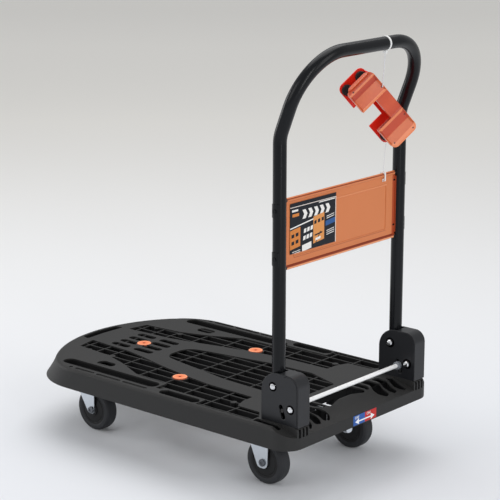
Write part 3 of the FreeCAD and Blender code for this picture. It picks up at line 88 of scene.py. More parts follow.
class Graph:  # one material and the nodes that feed its shader
    def __init__(self, name):
        self.material = bpy.data.materials.new(name)
        self.material.use_nodes = True
        self.tree = self.material.node_tree
        self.shader = self.tree.nodes["Principled BSDF"]
        self.place = self.node("ShaderNodeTexCoord", output="Object")

    def put(self, socket, value):
        if isinstance(value, Value):
            self.tree.links.new(value.socket, socket)
        else:
            socket.default_value = value

    def node(self, kind, settings=None, sockets=None, output=0):
        made = self.tree.nodes.new(kind)
        for setting, value in (settings or {}).items():
            if setting == "stops":
                fillRamp(made.color_ramp, value)
            else:
                setattr(made, setting, value)
        for key, value in (sockets or {}).items():
            self.put(made.inputs[key], value)
        return Value(self, made.outputs[output])

    def set(self, **sockets):
        for key, value in sockets.items():
            self.put(self.shader.inputs[key.replace("_", " ")], value)

    def math(self, operation, first, second=0.0):
        return self.node("ShaderNodeMath", {"operation": operation}, {0: first, 1: second})

    def mix(self, amount, first, second):
        return self.node("ShaderNodeMix", {"data_type": "RGBA"}, {0: amount, 6: first, 7: second}, 2)

    def ramp(self, value, stops):
        return self.node("ShaderNodeValToRGB", {"stops": stops}, {"Fac": value})

    def axis(self, name):
        return self.node("ShaderNodeSeparateXYZ", {}, {0: self.place}, name)

    def noise(self, scale, detail, rough=0.5):
        return self.node("ShaderNodeTexNoise", {}, {"Vector": self.place, "Scale": scale,
                                                    "Detail": detail, "Roughness": rough})

    def softEdges(self, radius):
        return self.node("ShaderNodeBevel", {"samples": 6}, {"Radius": radius})

    def relief(self, height, strength, depth, edge):  # a fine bump over softened edges
        return self.node("ShaderNodeBump", {}, {"Height": height, "Strength": strength, "Distance": depth,
                                                "Normal": self.softEdges(edge)})

    def grain(self, strength, edge, depth=0.0003):  # the fine grain of moulded plastic
        return self.relief(self.noise(900.0, 2.0, 0.6), strength, depth, edge)

    def paintRipple(self, edge):  # the soft ripple of sprayed paint
        return self.relief(self.noise(260.0, 2.0, 0.4), 0.06, 0.0004, edge)


def fillRamp(ramp, stops):
    while len(ramp.elements) < len(stops):
        ramp.elements.new(1.0)
    for element, (position, colour) in zip(ramp.elements, stops):
        element.position = position
        element.color = colour


def between(value, low, high):
    return (value > low) * (value < high)


def grey(level):
    return (level, level, level, 1.0)


def darker(colour, share):
    return tuple(channel * share for channel in colour[:3]) + (1.0,)


def linear(red, green, blue):  # a colour written as 0 to 255 steps on a screen
    steps = [channel / 255 for channel in (red, green, blue)]
    return tuple(s / 12.92 if s <= 0.04045 else ((s + 0.055) / 1.055) ** 2.4 for s in steps) + (1.0,)


def mouldedPlastic(name, colour, rough=0.45, grain=0.12, edge=0.0006, specular=0.5):
    m = Graph(name)
    cloud = m.noise(9.0, 4.0)
    m.set(Base_Color=m.mix(cloud, darker(colour, 0.86), colour))
    m.set(Roughness=rough - 0.06 + cloud * 0.12)
    m.set(Specular_IOR_Level=specular)
    m.set(Normal=m.grain(grain, edge))
    return m.material


def paintedSteel(name, colour, rough, edge=0.0006, specular=0.5):
    m = Graph(name)
    cloud = m.noise(6.0, 3.0)
    m.set(Base_Color=m.mix(cloud, darker(colour, 0.9), colour))
    m.set(Roughness=rough - 0.04 + cloud * 0.08)
    m.set(Specular_IOR_Level=specular)
    m.set(Normal=m.paintRipple(edge))
    return m.material


def platedMetal(name, colour, rough):
    m = Graph(name)
    cloud = m.noise(60.0, 5.0, 0.6)
    m.set(Metallic=1.0)
    m.set(Base_Color=m.mix(cloud, darker(colour, 0.85), colour))
    m.set(Roughness=rough - 0.05 + cloud * 0.12)
    m.set(Normal=m.relief(m.noise(1500.0, 2.0), 0.05, 0.0002, 0.0004))
    return m.material


# painted shade: the deck's plastic is painted black in the hollows under its top plate, where shade falls,
# inside the outline that these sizes give
deck = {"lip": -0.402958, "lipWide": 0.006, "lipHeight": 0.152, "rise": 0.43, "top": 0.1735, "rim": 0.144,
        "cornerX": 0.2149, "cornerY": 0.1, "noseX": 0.103, "noseRim": 0.2915,
        "rearX": -0.360958, "rearY": 0.208, "rearRim": 0.035,
        "hollowFrom": 0.0022, "hollowFade": 0.002, "hollow": linear(6, 6, 7),
        "dark": linear(33, 33, 33), "pale": linear(40, 40, 40), "dusty": linear(46, 45, 43)}


def makeDeckPlastic():
    d = deck
    m = Graph("deck_plastic")
    x, y, z = m.axis("X"), m.axis("Y"), m.axis("Z")
    side = m.math("ABSOLUTE", y)
    slope = (x - d["lip"]) * d["rise"] + d["lipHeight"]
    depth = m.math("MINIMUM", slope, d["top"]) - z
    ahead = m.math("MAXIMUM", x - d["cornerX"], 0.0)
    beside = m.math("MAXIMUM", side - d["cornerY"], 0.0)
    nose = x - d["noseX"]
    inCorners = (ahead * ahead + beside * beside) < d["rim"] ** 2
    inNose = ((nose * nose + y * y) < d["noseRim"] ** 2) * (side < d["cornerY"])
    behind = m.math("MAXIMUM", d["rearX"] - x, 0.0)
    outward = m.math("MAXIMUM", side - d["rearY"], 0.0)
    inRear = (behind * behind + outward * outward) < d["rearRim"] ** 2
    inside = m.math("MAXIMUM", inCorners, inNose) * (x > d["lip"] + d["lipWide"]) * inRear
    fade = [(0.0, grey(0.0)), (1.0, grey(1.0))]
    # painted shade: black from a set depth under the top plate, inside the hollows' outline
    hollow = m.ramp((depth - d["hollowFrom"]) / d["hollowFade"], fade) * inside
    cloud = m.noise(9.0, 4.0)
    streaks = m.noise(40.0, 5.0, 0.7)
    colour = m.mix(cloud, d["dark"], d["pale"])
    colour = m.mix(streaks * 0.35, colour, d["dusty"])
    m.set(Base_Color=m.mix(hollow, colour, d["hollow"]))
    m.set(Roughness=0.5 + cloud * 0.12 + hollow * 0.3)
    m.set(Specular_IOR_Level=0.3)
    m.set(Normal=m.grain(0.3, 0.0008, 0.0004))
    return m.material


# painted shadow: the bracket's paint is darkened round its two bolts, which stand at these places in X and Z
bracket = {"bolts": [(-0.335958, 0.249), (-0.382458, 0.209)], "ring": 0.0098,
           "dark": linear(26, 27, 30), "pale": linear(33, 34, 37), "shadow": linear(5, 5, 6)}


def makeBracketPaint():
    m = Graph("bracket_paint")
    nearest = 1.0
    for boltX, boltZ in bracket["bolts"]:
        x, z = m.axis("X") - boltX, m.axis("Z") - boltZ
        nearest = m.math("MINIMUM", m.math("SQRT", x * x + z * z), nearest)
    cloud = m.noise(9.0, 4.0)
    colour = m.mix(cloud, bracket["dark"], bracket["pale"])
    # a painted shadow ring round each bolt head
    m.set(Base_Color=m.mix(nearest < bracket["ring"], colour, bracket["shadow"]))
    m.set(Roughness=0.3 + cloud * 0.1, Specular_IOR_Level=0.36)
    m.set(Normal=m.grain(0.15, 0.0028))
    return m.material


# anti-slip discs: the places of their middles, and their colours from the middle to the rim: dark in the
# middle, and a painted highlight as a pale ring just inside the rim
discs = {"places": [(0.240042, 0.0), (0.007042, 0.1285), (0.007042, -0.1285)], "radius": 0.0166,
         "rings": [(0.0, linear(40, 18, 12)), (0.15, linear(56, 24, 14)), (0.2, linear(226, 112, 66)),
                   (0.44, linear(246, 134, 86)), (0.78, linear(252, 146, 96)),
                   (0.88, linear(255, 176, 132)), (1.0, linear(214, 104, 66))]}


def makeDiscRubber():
    m = Graph("disc_rubber")
    nearest = 1.0
    for middleX, middleY in discs["places"]:
        x, y = m.axis("X") - middleX, m.axis("Y") - middleY
        nearest = m.math("MINIMUM", m.math("SQRT", x * x + y * y), nearest)
    m.set(Base_Color=m.ramp(nearest / discs["radius"], discs["rings"]))
    m.set(Roughness=0.55, Specular_IOR_Level=0.4)
    m.set(Normal=m.grain(0.1, 0.0004))
    return m.material


# panel paint: bands between two heights for its rolled edges and its pressed frame: painted shade in its
# folds, on the frame's lower edge, in the open hem ends and on the side flange, and painted highlights on its
# lower roll and the frame's top edge
panel = {"shade": linear(206, 118, 66), "orange": linear(218, 130, 78), "deep": linear(140, 54, 26),
         "pale": linear(240, 160, 112), "hemShade": linear(24, 20, 19), "flange": linear(176, 76, 40),
         "lowFold": (0.4925, 0.4965), "lowRoll": (0.488, 0.4915), "topFold": (0.6325, 0.6345),
         "frameTop": (0.6078, 0.6102), "frameLow": (0.5078, 0.5094), "frameSide": 0.1565, "frameShare": 0.6,
         "hemTop": 0.6265, "hemLow": 0.4945, "hemShadeSide": 0.1815, "flangeSide": -0.178}


def makePanelPaint():
    p = panel
    m = Graph("panel_paint")
    side, z = m.math("ABSOLUTE", m.axis("Y")), m.axis("Z")
    orange = m.mix(m.noise(5.0, 3.0), p["shade"], p["orange"])
    # painted shade in the lower fold, a painted highlight on the roll under it, and painted shade in the top
    # fold
    colour = m.mix(between(z, *p["lowFold"]), orange, p["deep"])
    colour = m.mix(between(z, *p["lowRoll"]), colour, p["pale"])
    colour = m.mix(between(z, *p["topFold"]), colour, p["deep"])
    framed = (side < p["frameSide"]) * p["frameShare"]
    # a painted highlight on the frame's top edge and painted shade on its lower edge
    colour = m.mix(between(z, *p["frameTop"]) * framed, colour, p["pale"])
    colour = m.mix(between(z, *p["frameLow"]) * framed, colour, p["deep"])
    # painted shade in the open ends of the hems, and on the side flange
    hems = m.math("MAXIMUM", z > p["hemTop"], z < p["hemLow"])
    colour = m.mix((side > p["hemShadeSide"]) * hems, colour, p["hemShade"])
    colour = m.mix((m.axis("Y") < p["flangeSide"]) * (1.0 - hems), colour, p["flange"])
    m.set(Base_Color=colour, Roughness=0.34, Specular_IOR_Level=0.4)
    m.set(Normal=m.paintRipple(0.0006))
    return m.material


# the chrome is mostly a diffuse white, a painted reflection of the bright studio; the ends are painted black
# as the shade inside the brackets' slots
bar = {"capsFrom": 0.196, "chrome": linear(255, 255, 255), "cap": linear(26, 24, 24)}


def makeBarChrome():  # a bright bar whose white stands in for its chrome's reflection, with painted shade in black on each end
    m = Graph("chromed_bar")
    # painted shade: the ends that sit in the brackets' slots
    capped = m.math("ABSOLUTE", m.axis("Y")) > bar["capsFrom"]
    m.set(Metallic=(1.0 - capped) * 0.2, Roughness=0.16 + capped * 0.34)
    m.set(Base_Color=m.mix(capped, bar["chrome"], bar["cap"]))
    m.set(Normal=m.softEdges(0.0003))
    return m.material


# finishes that more than one piece wears
tubePaint = paintedSteel("tube_paint", linear(12, 14, 17), rough=0.24, edge=0.0003, specular=0.24)
stopPaint = paintedSteel("stop_paint", linear(236, 36, 14), rough=0.35)
corePlastic = mouldedPlastic("core_plastic", linear(27, 27, 28), rough=0.5, grain=0.15, edge=0.001,
                             specular=0.3)
# a dark plated steel for the axle bolts and nuts: partly their own metal, partly painted shade for the forks'
# axle holes
axleSteelAndShade = platedMetal("axle_steel_and_shade", linear(112, 115, 120), rough=0.3)
whiteNylon = mouldedPlastic("white_nylon", linear(240, 240, 238), rough=0.4)
clearNylon = mouldedPlastic("clear_nylon", linear(228, 230, 230), rough=0.3)

finishBySlot = {
    "deck_plastic": makeDeckPlastic(),
    "disc_rubber": makeDiscRubber(),
    "bracket_steel": makeBracketPaint(),
    "tube_paint": tubePaint,
    "panel_paint": makePanelPaint(),
    "stop_paint": stopPaint,
    "zinc_sheet": platedMetal("zinc_sheet", linear(214, 220, 226), rough=0.36),
    "plated_fasteners": platedMetal("plated_fasteners", linear(235, 236, 238), rough=0.16),
    "chromed_bar": makeBarChrome(),
    "spring_steel": platedMetal("spring_steel", linear(150, 152, 156), rough=0.3),
    "grey_plastic": mouldedPlastic("grey_plastic", linear(128, 132, 138), rough=0.4),
    "black_plastic": mouldedPlastic("black_plastic", linear(20, 20, 21)),
    "core_plastic": corePlastic,
    "tyre_rubber": mouldedPlastic("tyre_rubber", linear(44, 45, 48), rough=0.6, grain=0.15, edge=0.0012,
                                  specular=0.35),
    "pad_rubber": mouldedPlastic("pad_rubber", linear(22, 23, 25), rough=0.7),
    "label_film": whiteNylon,
    "white_nylon": whiteNylon,
    "clear_nylon": clearNylon,
}


def paint(piece, material):
    piece.data.materials.clear()
    piece.data.materials.append(material)


for part in frame["record"]["subparts"]:
    paint(nodes[part["node"]], finishBySlot[part["material_slot"]])
# axle bolts and nuts wear the darkened steel, painted shade for their holes
for name in nodes:
    if name.startswith("axle"):
        paint(nodes[name], axleSteelAndShade)
paint(nodes["panel_screws"], tubePaint)
paint(nodes["panel_saddles"], tubePaint)
print("finishes made")


def startFresh():
    if bpy.context.object and bpy.context.object.mode != "OBJECT":
        bpy.ops.object.mode_set(mode="OBJECT")
    bpy.ops.object.select_all(action="DESELECT")


def takeUp(piece):
    startFresh()
    piece.select_set(True)
    bpy.context.view_layer.objects.active = piece


def block(name, low, high):  # a box between two corners, its place in its mesh
    startFresh()
    middle = [(a + b) / 2 for a, b in zip(low, high)]
    bpy.ops.mesh.primitive_cube_add(size=1, location=middle)
    made = bpy.context.object
    made.name = name
    made.scale = [b - a for a, b in zip(low, high)]
    bpy.ops.object.transform_apply(location=True, rotation=True, scale=True)
    return made


def pickFaces(piece, test):
    takeUp(piece)
    mesh = piece.data
    for items in (mesh.vertices, mesh.edges):
        for item in items:
            item.select = False
    for face in mesh.polygons:
        face.select = test(face.center, face.normal)
    bpy.ops.object.mode_set(mode="EDIT")
    bpy.ops.mesh.select_mode(type="FACE")


def pickEdges(piece, test):
    takeUp(piece)
    mesh = piece.data
    for items in (mesh.vertices, mesh.polygons):
        for item in items:
            item.select = False
    for edge in mesh.edges:
        edge.select = test(*[mesh.vertices[v].co for v in edge.vertices])
    bpy.ops.object.mode_set(mode="EDIT")
    bpy.ops.mesh.select_mode(type="EDGE")


def revolve(name, profile, steps, material):  # a closed profile of radius and height, turned about Y
    mesh = bpy.data.meshes.new(name)
    count = len(profile)
    mesh.from_pydata([(r, y, 0) for r, y in profile], [(i, (i + 1) % count) for i in range(count)], [])
    made = bpy.data.objects.new(name, mesh)
    bpy.context.collection.objects.link(made)
    takeUp(made)
    bpy.ops.object.mode_set(mode="EDIT")
    bpy.ops.mesh.select_all(action="SELECT")
    bpy.ops.mesh.spin(steps=steps, angle=math.tau, center=(0, 0, 0), axis=(0, 1, 0))
    bpy.ops.mesh.select_all(action="SELECT")
    bpy.ops.mesh.remove_doubles(threshold=hair)
    bpy.ops.mesh.normals_make_consistent(inside=False)
    bpy.ops.object.mode_set(mode="OBJECT")
    made.data.materials.append(material)
    return made


def place(model, name, middle, side):  # a copy with its own mesh, turned outwards or inwards along Y
    copy = model.copy()
    copy.data = model.data.copy()
    copy.name = name
    bpy.context.collection.objects.link(copy)
    takeUp(copy)
    copy.matrix_world = Matrix.Translation(middle) @ Matrix.Scale(side, 4, (0, 1, 0))
    bpy.ops.object.transform_apply(location=True, rotation=True, scale=True)
    if side < 0:
        bpy.ops.object.mode_set(mode="EDIT")
        bpy.ops.mesh.select_all(action="SELECT")
        bpy.ops.mesh.normals_make_consistent(inside=False)
        bpy.ops.object.mode_set(mode="OBJECT")
    return copy


def join(pieces):
    startFresh()
    for piece in pieces:
        piece.select_set(True)
    bpy.context.view_layer.objects.active = pieces[0]
    bpy.ops.object.join()
    return bpy.context.object


def modify(piece, kind, **settings):
    takeUp(piece)
    modifier = piece.modifiers.new(kind.lower(), kind)
    for key, value in settings.items():
        setattr(modifier, key, value)
    bpy.ops.object.modifier_apply(modifier=modifier.name)


def smooth(piece, degrees):
    takeUp(piece)
    bpy.ops.object.shade_smooth_by_angle(angle=math.radians(degrees))


class Print(Graph):  # flat artwork on a film, drawn from the back to the front in shares of its size
    def __init__(self, name, film, ground):
        super().__init__(name)
        self.across = (film["left"] - self.axis("Y")) / film["width"]
        self.up = (self.axis("Z") - film["low"]) / film["height"]
        self.colour = ground

    def patch(self, colour, left, right, low, high, slant=0.0, rise=0.0):
        across = self.across - self.up * slant
        up = self.up - self.across * rise
        mask = between(across, left, right) * between(up, low, high)
        self.colour = self.mix(mask, self.colour, colour)

    def done(self, rough):
        self.set(Base_Color=self.colour, Roughness=rough, Specular_IOR_Level=0.2)
        return self.material


panelPrint = {"left": 0.17, "low": 0.509, "width": 0.15, "height": 0.105, "rise": 0.17,
              "chevrons": 5, "chevronLean": 0.42, "chevronFold": 0.81,
              "dark": linear(22, 26, 34), "white": linear(238, 236, 232), "orange": linear(214, 130, 60),
              "amber": linear(222, 150, 84), "blue": linear(48, 92, 150), "rim": linear(226, 214, 206)}


def makePanelPrint():
    p = panelPrint
    dark, white, rise = p["dark"], p["white"], p["rise"]
    lean, fold = p["chevronLean"], p["chevronFold"]
    art = Print("panel_print", p, dark)
    for step in range(p["chevrons"]):
        left = 0.30 + step * 0.125
        art.patch(white, left - lean * fold, left + 0.07 - lean * fold, 0.72, fold, slant=lean)
        art.patch(white, left + lean * fold, left + 0.07 + lean * fold, fold, 0.90, slant=-lean)
    art.patch(white, 0.04, 0.17, 0.90, 0.94)  # top line: a white bar, an orange bar and a thin rule
    art.patch(p["orange"], 0.05, 0.19, 0.80, 0.86)
    art.patch(white, 0.62, 0.97, 0.955, 0.975)
    art.patch(white, 0.0, 0.5, 0.565, 0.59, rise=rise)  # the fields under the chevrons climb to the right
    art.patch(p["orange"], 0.0, 0.22, 0.16, 0.54, rise=rise)
    art.patch(p["amber"], 0.50, 0.74, 0.08, 0.62, rise=rise)
    art.patch(white, 0.26, 0.46, 0.02, 0.15, rise=rise)
    art.patch(p["blue"], 0.77, 0.98, 0.32, 0.42, rise=rise)
    for low in (0.24, 0.38):  # two rows of blocks
        art.patch(dark, 0.03, 0.09, low, low + 0.07, rise=rise)
        art.patch(dark, 0.12, 0.18, low, low + 0.07, rise=rise)
        for left in (0.25, 0.32, 0.39):
            art.patch(white, left, left + 0.05, low, low + 0.08, slant=0.1, rise=rise)
    for left in (0.52, 0.60, 0.68):  # marks on the amber field
        art.patch(dark, left, left + 0.05, 0.46, 0.53, rise=rise)
    art.patch(dark, 0.53, 0.70, 0.22, 0.25, rise=rise)
    art.patch(dark, 0.46, 0.48, 0.14, 0.38, slant=0.5)
    art.patch(white, 0.55, 0.66, 0.12, 0.17, rise=rise)
    for low in (0.13, 0.17, 0.21, 0.46, 0.50):  # thin rules, right and left
        art.patch(white, 0.79, 0.96, low, low + 0.014, rise=rise)
    for low in (0.025, 0.06, 0.095):
        art.patch(white, 0.05, 0.22, low, low + 0.012, rise=0.1)
    art.patch(p["rim"], 0.0, 1.0, 0.985, 1.0)
    art.patch(p["rim"], 0.985, 1.0, 0.0, 1.0)
    return art.done(0.3)


brakePrint = {"left": 0.035, "low": 0.1285, "width": 0.08, "height": 0.0215, "middle": 0.33, "headFrom": 0.26,
              "headTip": 0.42, "blue": linear(46, 92, 168), "red": linear(196, 46, 42),
              "white": linear(240, 242, 244)}


def makeBrakePrint():  # a blue and a red half with a white arrow that points both ways
    p = brakePrint
    art = Print("brake_print", p, p["blue"])
    art.patch(p["red"], 0.5, 1.0, 0.0, 1.0)
    art.patch(p["white"], 0.22, 0.78, 0.26, 0.40)
    off = art.math("ABSOLUTE", art.up - p["middle"])
    tip = art.math("ABSOLUTE", art.across - 0.5)
    head = (tip > p["headFrom"]) * (off < (p["headTip"] - tip) * 2.0)
    art.colour = art.mix(head, art.colour, p["white"])
    return art.done(0.35)


words = {"word_off": {"text": "OFF", "middle": (-0.40331, 0.0225, 0.1446)},
         "word_on": {"text": "ON", "middle": (-0.40331, -0.0175, 0.1446)},
         "height": 0.0082, "bolder": 0.0002, "thick": 0.00004}


def letter(name):  # flat letters on the rear wall, which faces -X
    word = words[name]
    startFresh()
    bpy.ops.object.text_add()
    text = bpy.context.object.data
    text.body = word["text"]
    text.size = words["height"]
    text.align_x, text.align_y = "CENTER", "CENTER"
    text.offset = words["bolder"]
    text.extrude = words["thick"]
    bpy.ops.object.convert(target="MESH")
    made = bpy.context.object
    made.name = name
    turn = Matrix(((0, 0, -1), (-1, 0, 0), (0, 1, 0))).to_4x4()
    made.matrix_world = Matrix.Translation(word["middle"]) @ turn
    bpy.ops.object.transform_apply(location=True, rotation=True, scale=True)
    made.data.materials.append(whiteNylon)
    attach(made, "base")


paint(nodes["panel_label"], makePanelPrint())
paint(nodes["brake_label"], makeBrakePrint())
letter("word_off")
letter("word_on")
print("labels printed")


# wheel stop: a bent sheet channel, modelled flat at the origin and then hung in its place
wheelStop = {"long": 0.170, "jaw": 0.058, "reach": 0.070, "bridge": 0.032, "depth": 0.052, "sheet": 0.0025,
             "corner": 0.013, "cornerSteps": 7, "thick": 0.0105, "valley": 0.0075, "rim": 0.0042,
             "overlap": 0.0002, "bridgeSunk": 0.0006, "bridgeRim": 0.003, "bridgePress": 0.0012,
             "faceEdge": 0.0007, "sheetEdge": 0.0005, "edgeSteps": 2, "edgeAngle": 40, "smoothAngle": 14,
             "spineFrom": 0.004, "spineTo": 0.051, "lipFrom": 0.003, "lipTo": 0.009,
             "lipShort": 0.008, "lipRoot": 0.001,
             "along": (-0.29969, -0.59939, -0.74224), "tipwards": (0.38009, 0.63857, -0.66914),
             "back": (0.87505, -0.48266, 0.03645), "at": (-0.363042, -0.0574, 0.870151)}

# its pressed face: holes as places along and tipwards, painted dark as shadow, and painted light and shade
# from the upper end to the lower one, paler or darker on each slope of its valleys
stopFace = {"holes": [(0.046, 0.005), (0.128, 0.005), (0.009, 0.058), (0.158, 0.061), (0.163, 0.010)],
            "hole": 0.0019, "rimDepth": 0.0005, "rimShare": 0.7,
            "paintedLightAndShade": [(0.0, linear(212, 92, 52)), (0.06, linear(198, 78, 46)),
                       (0.165, linear(180, 58, 36)), (0.175, linear(226, 116, 68)),
                       (0.30, linear(218, 100, 54)), (0.345, linear(204, 80, 46)),
                       (0.52, linear(214, 90, 54)), (0.66, linear(194, 70, 42)),
                       (0.82, linear(202, 78, 48)), (0.835, linear(226, 120, 66)),
                       (0.96, linear(220, 110, 62)), (1.0, linear(228, 116, 72))],
            "streak": linear(188, 66, 34), "edge": linear(244, 148, 100), "shadow": linear(104, 30, 16)}


def stopPlate(name, x0, x1, z0, z1, rightCorners):  # rounds the two corners on its left or right side
    reach = wheelStop["reach"]
    plate = block(name, (x0, 0, z0), (x1, reach, z1))
    pickEdges(plate, lambda a, b: abs(a.x - b.x) + abs(a.y - b.y) < hair
              and (a.x > (x0 + x1) / 2) == rightCorners)
    bpy.ops.mesh.bevel(offset=wheelStop["corner"], segments=wheelStop["cornerSteps"])
    return plate


def pressValley(plate, middle):  # a shallow valley inside a flat rim, along the jaw
    pickFaces(plate, lambda c, n: n.z < -0.9)
    bpy.ops.mesh.inset(thickness=wheelStop["rim"])
    bpy.ops.mesh.bisect(plane_co=(middle, 0, 0), plane_no=(1, 0, 0))
    pickEdges(plate, lambda a, b: abs(a.x - middle) < hair and abs(b.x - middle) < hair
              and a.z < hair and b.z < hair and min(a.y, b.y) > wheelStop["rim"] - hair)
    bpy.ops.transform.translate(value=(0, 0, wheelStop["valley"]))


def makeStopFace():  # painted light and shade: paler rims as painted highlights, and one paler, lit slope in each pressed valley
    w, f = wheelStop, stopFace
    m = Graph("stop_face")
    offsets = [m.axis(axis) - start for axis, start in zip("XYZ", w["at"])]
    along, tipwards, inwards = [sum(offset * step for offset, step in zip(offsets, w[way]))
                                for way in ("along", "tipwards", "back")]
    shade = m.ramp(along / w["long"], f["paintedLightAndShade"])
    shade = m.mix(m.noise(90.0, 4.0, 0.6) * 0.5, shade, f["streak"])
    # a painted highlight along the rims
    colour = m.mix((inwards < f["rimDepth"]) * f["rimShare"], shade, f["edge"])
    for holeAlong, holeTipwards in f["holes"]:
        across, down = along - holeAlong, tipwards - holeTipwards
        colour = m.mix((across * across + down * down) < f["hole"] ** 2, colour, f["shadow"])
    m.set(Base_Color=colour, Roughness=0.34)
    m.set(Normal=m.paintRipple(0.0006))
    return m.material


def softenSheet(piece, width):
    w = wheelStop
    modify(piece, "BEVEL", width=width, segments=w["edgeSteps"], angle_limit=math.radians(w["edgeAngle"]))
    return piece


def makeStopFront():  # the two pressed jaws and the lower bridge between them
    w = wheelStop
    right, bridgeTo = w["long"] - w["jaw"], w["long"] - w["jaw"] + w["overlap"]
    upper = stopPlate("upper_jaw", 0, w["jaw"], 0, w["thick"], False)
    lower = stopPlate("lower_jaw", right, w["long"], 0, w["thick"], True)
    pressValley(upper, w["jaw"] / 2)
    pressValley(lower, w["long"] - w["jaw"] / 2)
    middle = block("stop_bridge", (w["jaw"] - w["overlap"], 0, w["bridgeSunk"]),
                   (bridgeTo, w["bridge"], w["thick"]))
    pickFaces(middle, lambda c, n: n.z < -0.9)
    bpy.ops.mesh.inset(thickness=w["bridgeRim"])
    bpy.ops.transform.translate(value=(0, 0, w["bridgePress"]))
    return softenSheet(join([upper, lower, middle]), w["faceEdge"])


def makeStopBack():  # the plain rear plates, the spine that joins them to the front, and two lips
    w = wheelStop
    right, bridgeTo = w["long"] - w["jaw"], w["long"] - w["jaw"] + w["overlap"]
    behind, lipLow, lipHigh = w["depth"] - w["sheet"], w["bridge"] - w["lipRoot"], w["reach"] - w["lipShort"]
    pieces = [stopPlate("back_upper", 0, w["jaw"], behind, w["depth"], False),
              stopPlate("back_lower", right, w["long"], behind, w["depth"], True),
              block("back_bridge", (w["jaw"] - w["overlap"], 0, behind), (bridgeTo, w["bridge"], w["depth"])),
              block("spine", (w["corner"], 0, w["spineFrom"]),
                    (w["long"] - w["corner"], w["sheet"], w["spineTo"])),
              block("upper_lip", (w["jaw"] - w["sheet"], lipLow, w["lipFrom"]),
                    (w["jaw"], lipHigh, w["lipTo"])),
              block("lower_lip", (right, lipLow, w["lipFrom"]), (right + w["sheet"], lipHigh, w["lipTo"]))]
    return softenSheet(join(pieces), w["sheetEdge"])


def hangStop(piece, name, material):
    w = wheelStop
    turn = Matrix((w["along"], w["tipwards"], w["back"])).transposed().to_4x4()
    piece.name = name
    piece.matrix_world = Matrix.Translation(w["at"]) @ turn
    takeUp(piece)
    bpy.ops.object.transform_apply(location=True, rotation=True, scale=True)
    paint(piece, material)
    smooth(piece, w["smoothAngle"])
    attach(piece, "handle")


front, body = makeStopFront(), makeStopBack()
hangStop(front, "stop_face", makeStopFace())
hangStop(body, "stop_channel", stopPaint)
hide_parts("wheel_stop")
print("wheel stop made")


# painted shade: near-black walls put between the rear slots and the open underside, standing in for the shade
# in the deck's hollows there
slotShadeWalls = {"left": (0.06, 0.238), "right": (-0.238, -0.03), "at": (-0.352, -0.303), "thick": 0.002,
             "low": 0.1275, "high": 0.1695, "edge": 0.0005, "edgeSteps": 2}


def makeSlotShadeWalls():
    w = slotShadeWalls
    wall = join([block("wall", (x, w[side][0], w["low"]), (x + w["thick"], w[side][1], w["high"]))
                 for side in ("left", "right") for x in w["at"]])
    wall.name = "slot_shade_walls"
    modify(wall, "BEVEL", width=w["edge"], segments=w["edgeSteps"])
    # near-black, a painted shade behind the slots
    paint(wall, mouldedPlastic("slot_shade_black", linear(9, 9, 10), rough=0.8, specular=0.1))
    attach(wall, "base")


makeSlotShadeWalls()
print("slot walls made")


# wheel cheeks: a moulded disc on each side of each core, with a groove near its rim
wheelCheek = {"profile": [(0.0135, 0.0), (0.0135, 0.0024), (0.0150, 0.0030), (0.0166, 0.0022),
                          (0.0290, 0.0020), (0.0296, 0.0012), (0.0308, 0.0012), (0.0314, 0.0022),
                          (0.0340, 0.0024), (0.0347, 0.0018), (0.0349, 0.0)],
              "sunk": 0.0036, "turns": 64, "smoothAngle": 30}


def placeCheek(model, corner, side):
    low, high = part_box("tyre_" + corner)
    face = (high.y - low.y) / 2 - wheelCheek["sunk"]
    facing = "out" if side > 0 else "in"
    cheek = place(model, f"cheek_{corner}_{facing}", (low + high) / 2 + Vector((0, side * face, 0)), side)
    smooth(cheek, wheelCheek["smoothAngle"])
    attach(cheek, "wheel_" + corner)


cheekModel = revolve("wheel_cheek", wheelCheek["profile"], wheelCheek["turns"], corePlastic)
for corner in ("rear_left", "rear_right", "front_left", "front_right"):
    for side in (1, -1):
        placeCheek(cheekModel, corner, side)
bpy.data.objects.remove(cheekModel)
print("wheel cheeks made")


# painted shadow: near-black rings laid round the bolts, on the outside and the inside of both brackets, where
# shade falls round the bolt heads
boltShadowRings = {"outer": [(0.0067, 0.0), (0.0067, 0.0006), (0.0096, 0.0005), (0.0102, 0.0)],
             "inner": [(0.0080, 0.0), (0.0080, 0.0006), (0.0108, 0.0005), (0.0114, 0.0)],
             "turns": 40, "sunk": 0.0001, "smoothAngle": 30, "black": linear(3, 3, 4)}


def makeBoltShadowRings():
    rings = []
    r = boltShadowRings
    black = mouldedPlastic("ring_shadow", r["black"], rough=0.9, grain=0.0, edge=0.0001, specular=0.02)
    outer = revolve("outer_ring", r["outer"], r["turns"], black)
    inner = revolve("inner_ring", r["inner"], r["turns"], black)
    for node, side in (("bracket_left", 1), ("bracket_right", -1)):
        low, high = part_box(node)
        outside, inside = (high.y, low.y) if side > 0 else (low.y, high.y)
        for x, z in bracket["bolts"]:
            rings.append(place(outer, "bolt_shadow_ring", (x, outside - side * r["sunk"], z), side))
            rings.append(place(inner, "bolt_shadow_ring", (x, inside + side * r["sunk"], z), -side))
    for model in (outer, inner):
        bpy.data.objects.remove(model)
    joined = join(rings)
    joined.name = "bolt_shadow_rings"
    smooth(joined, r["smoothAngle"])
    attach(joined, "base")


makeBoltShadowRings()
print("bolt rings made")


# nylon lines: grip tie to the stop, and the stop to the panel
lines = {
    "upper": {"points": [(-0.40174, -0.054, 0.90785), (-0.38967, -0.06742, 0.87058),
                         (-0.37601, -0.08203, 0.8333)],
              "thick": 0.0024, "node": "line_upper", "length": 0.0837},
    "lower": {"points": [(-0.34318, -0.14287, 0.7102), (-0.34037, -0.14301, 0.67535),
                         (-0.33596, -0.14435, 0.6405)],
              "thick": 0.0014, "node": "line_lower", "length": 0.0701},
}


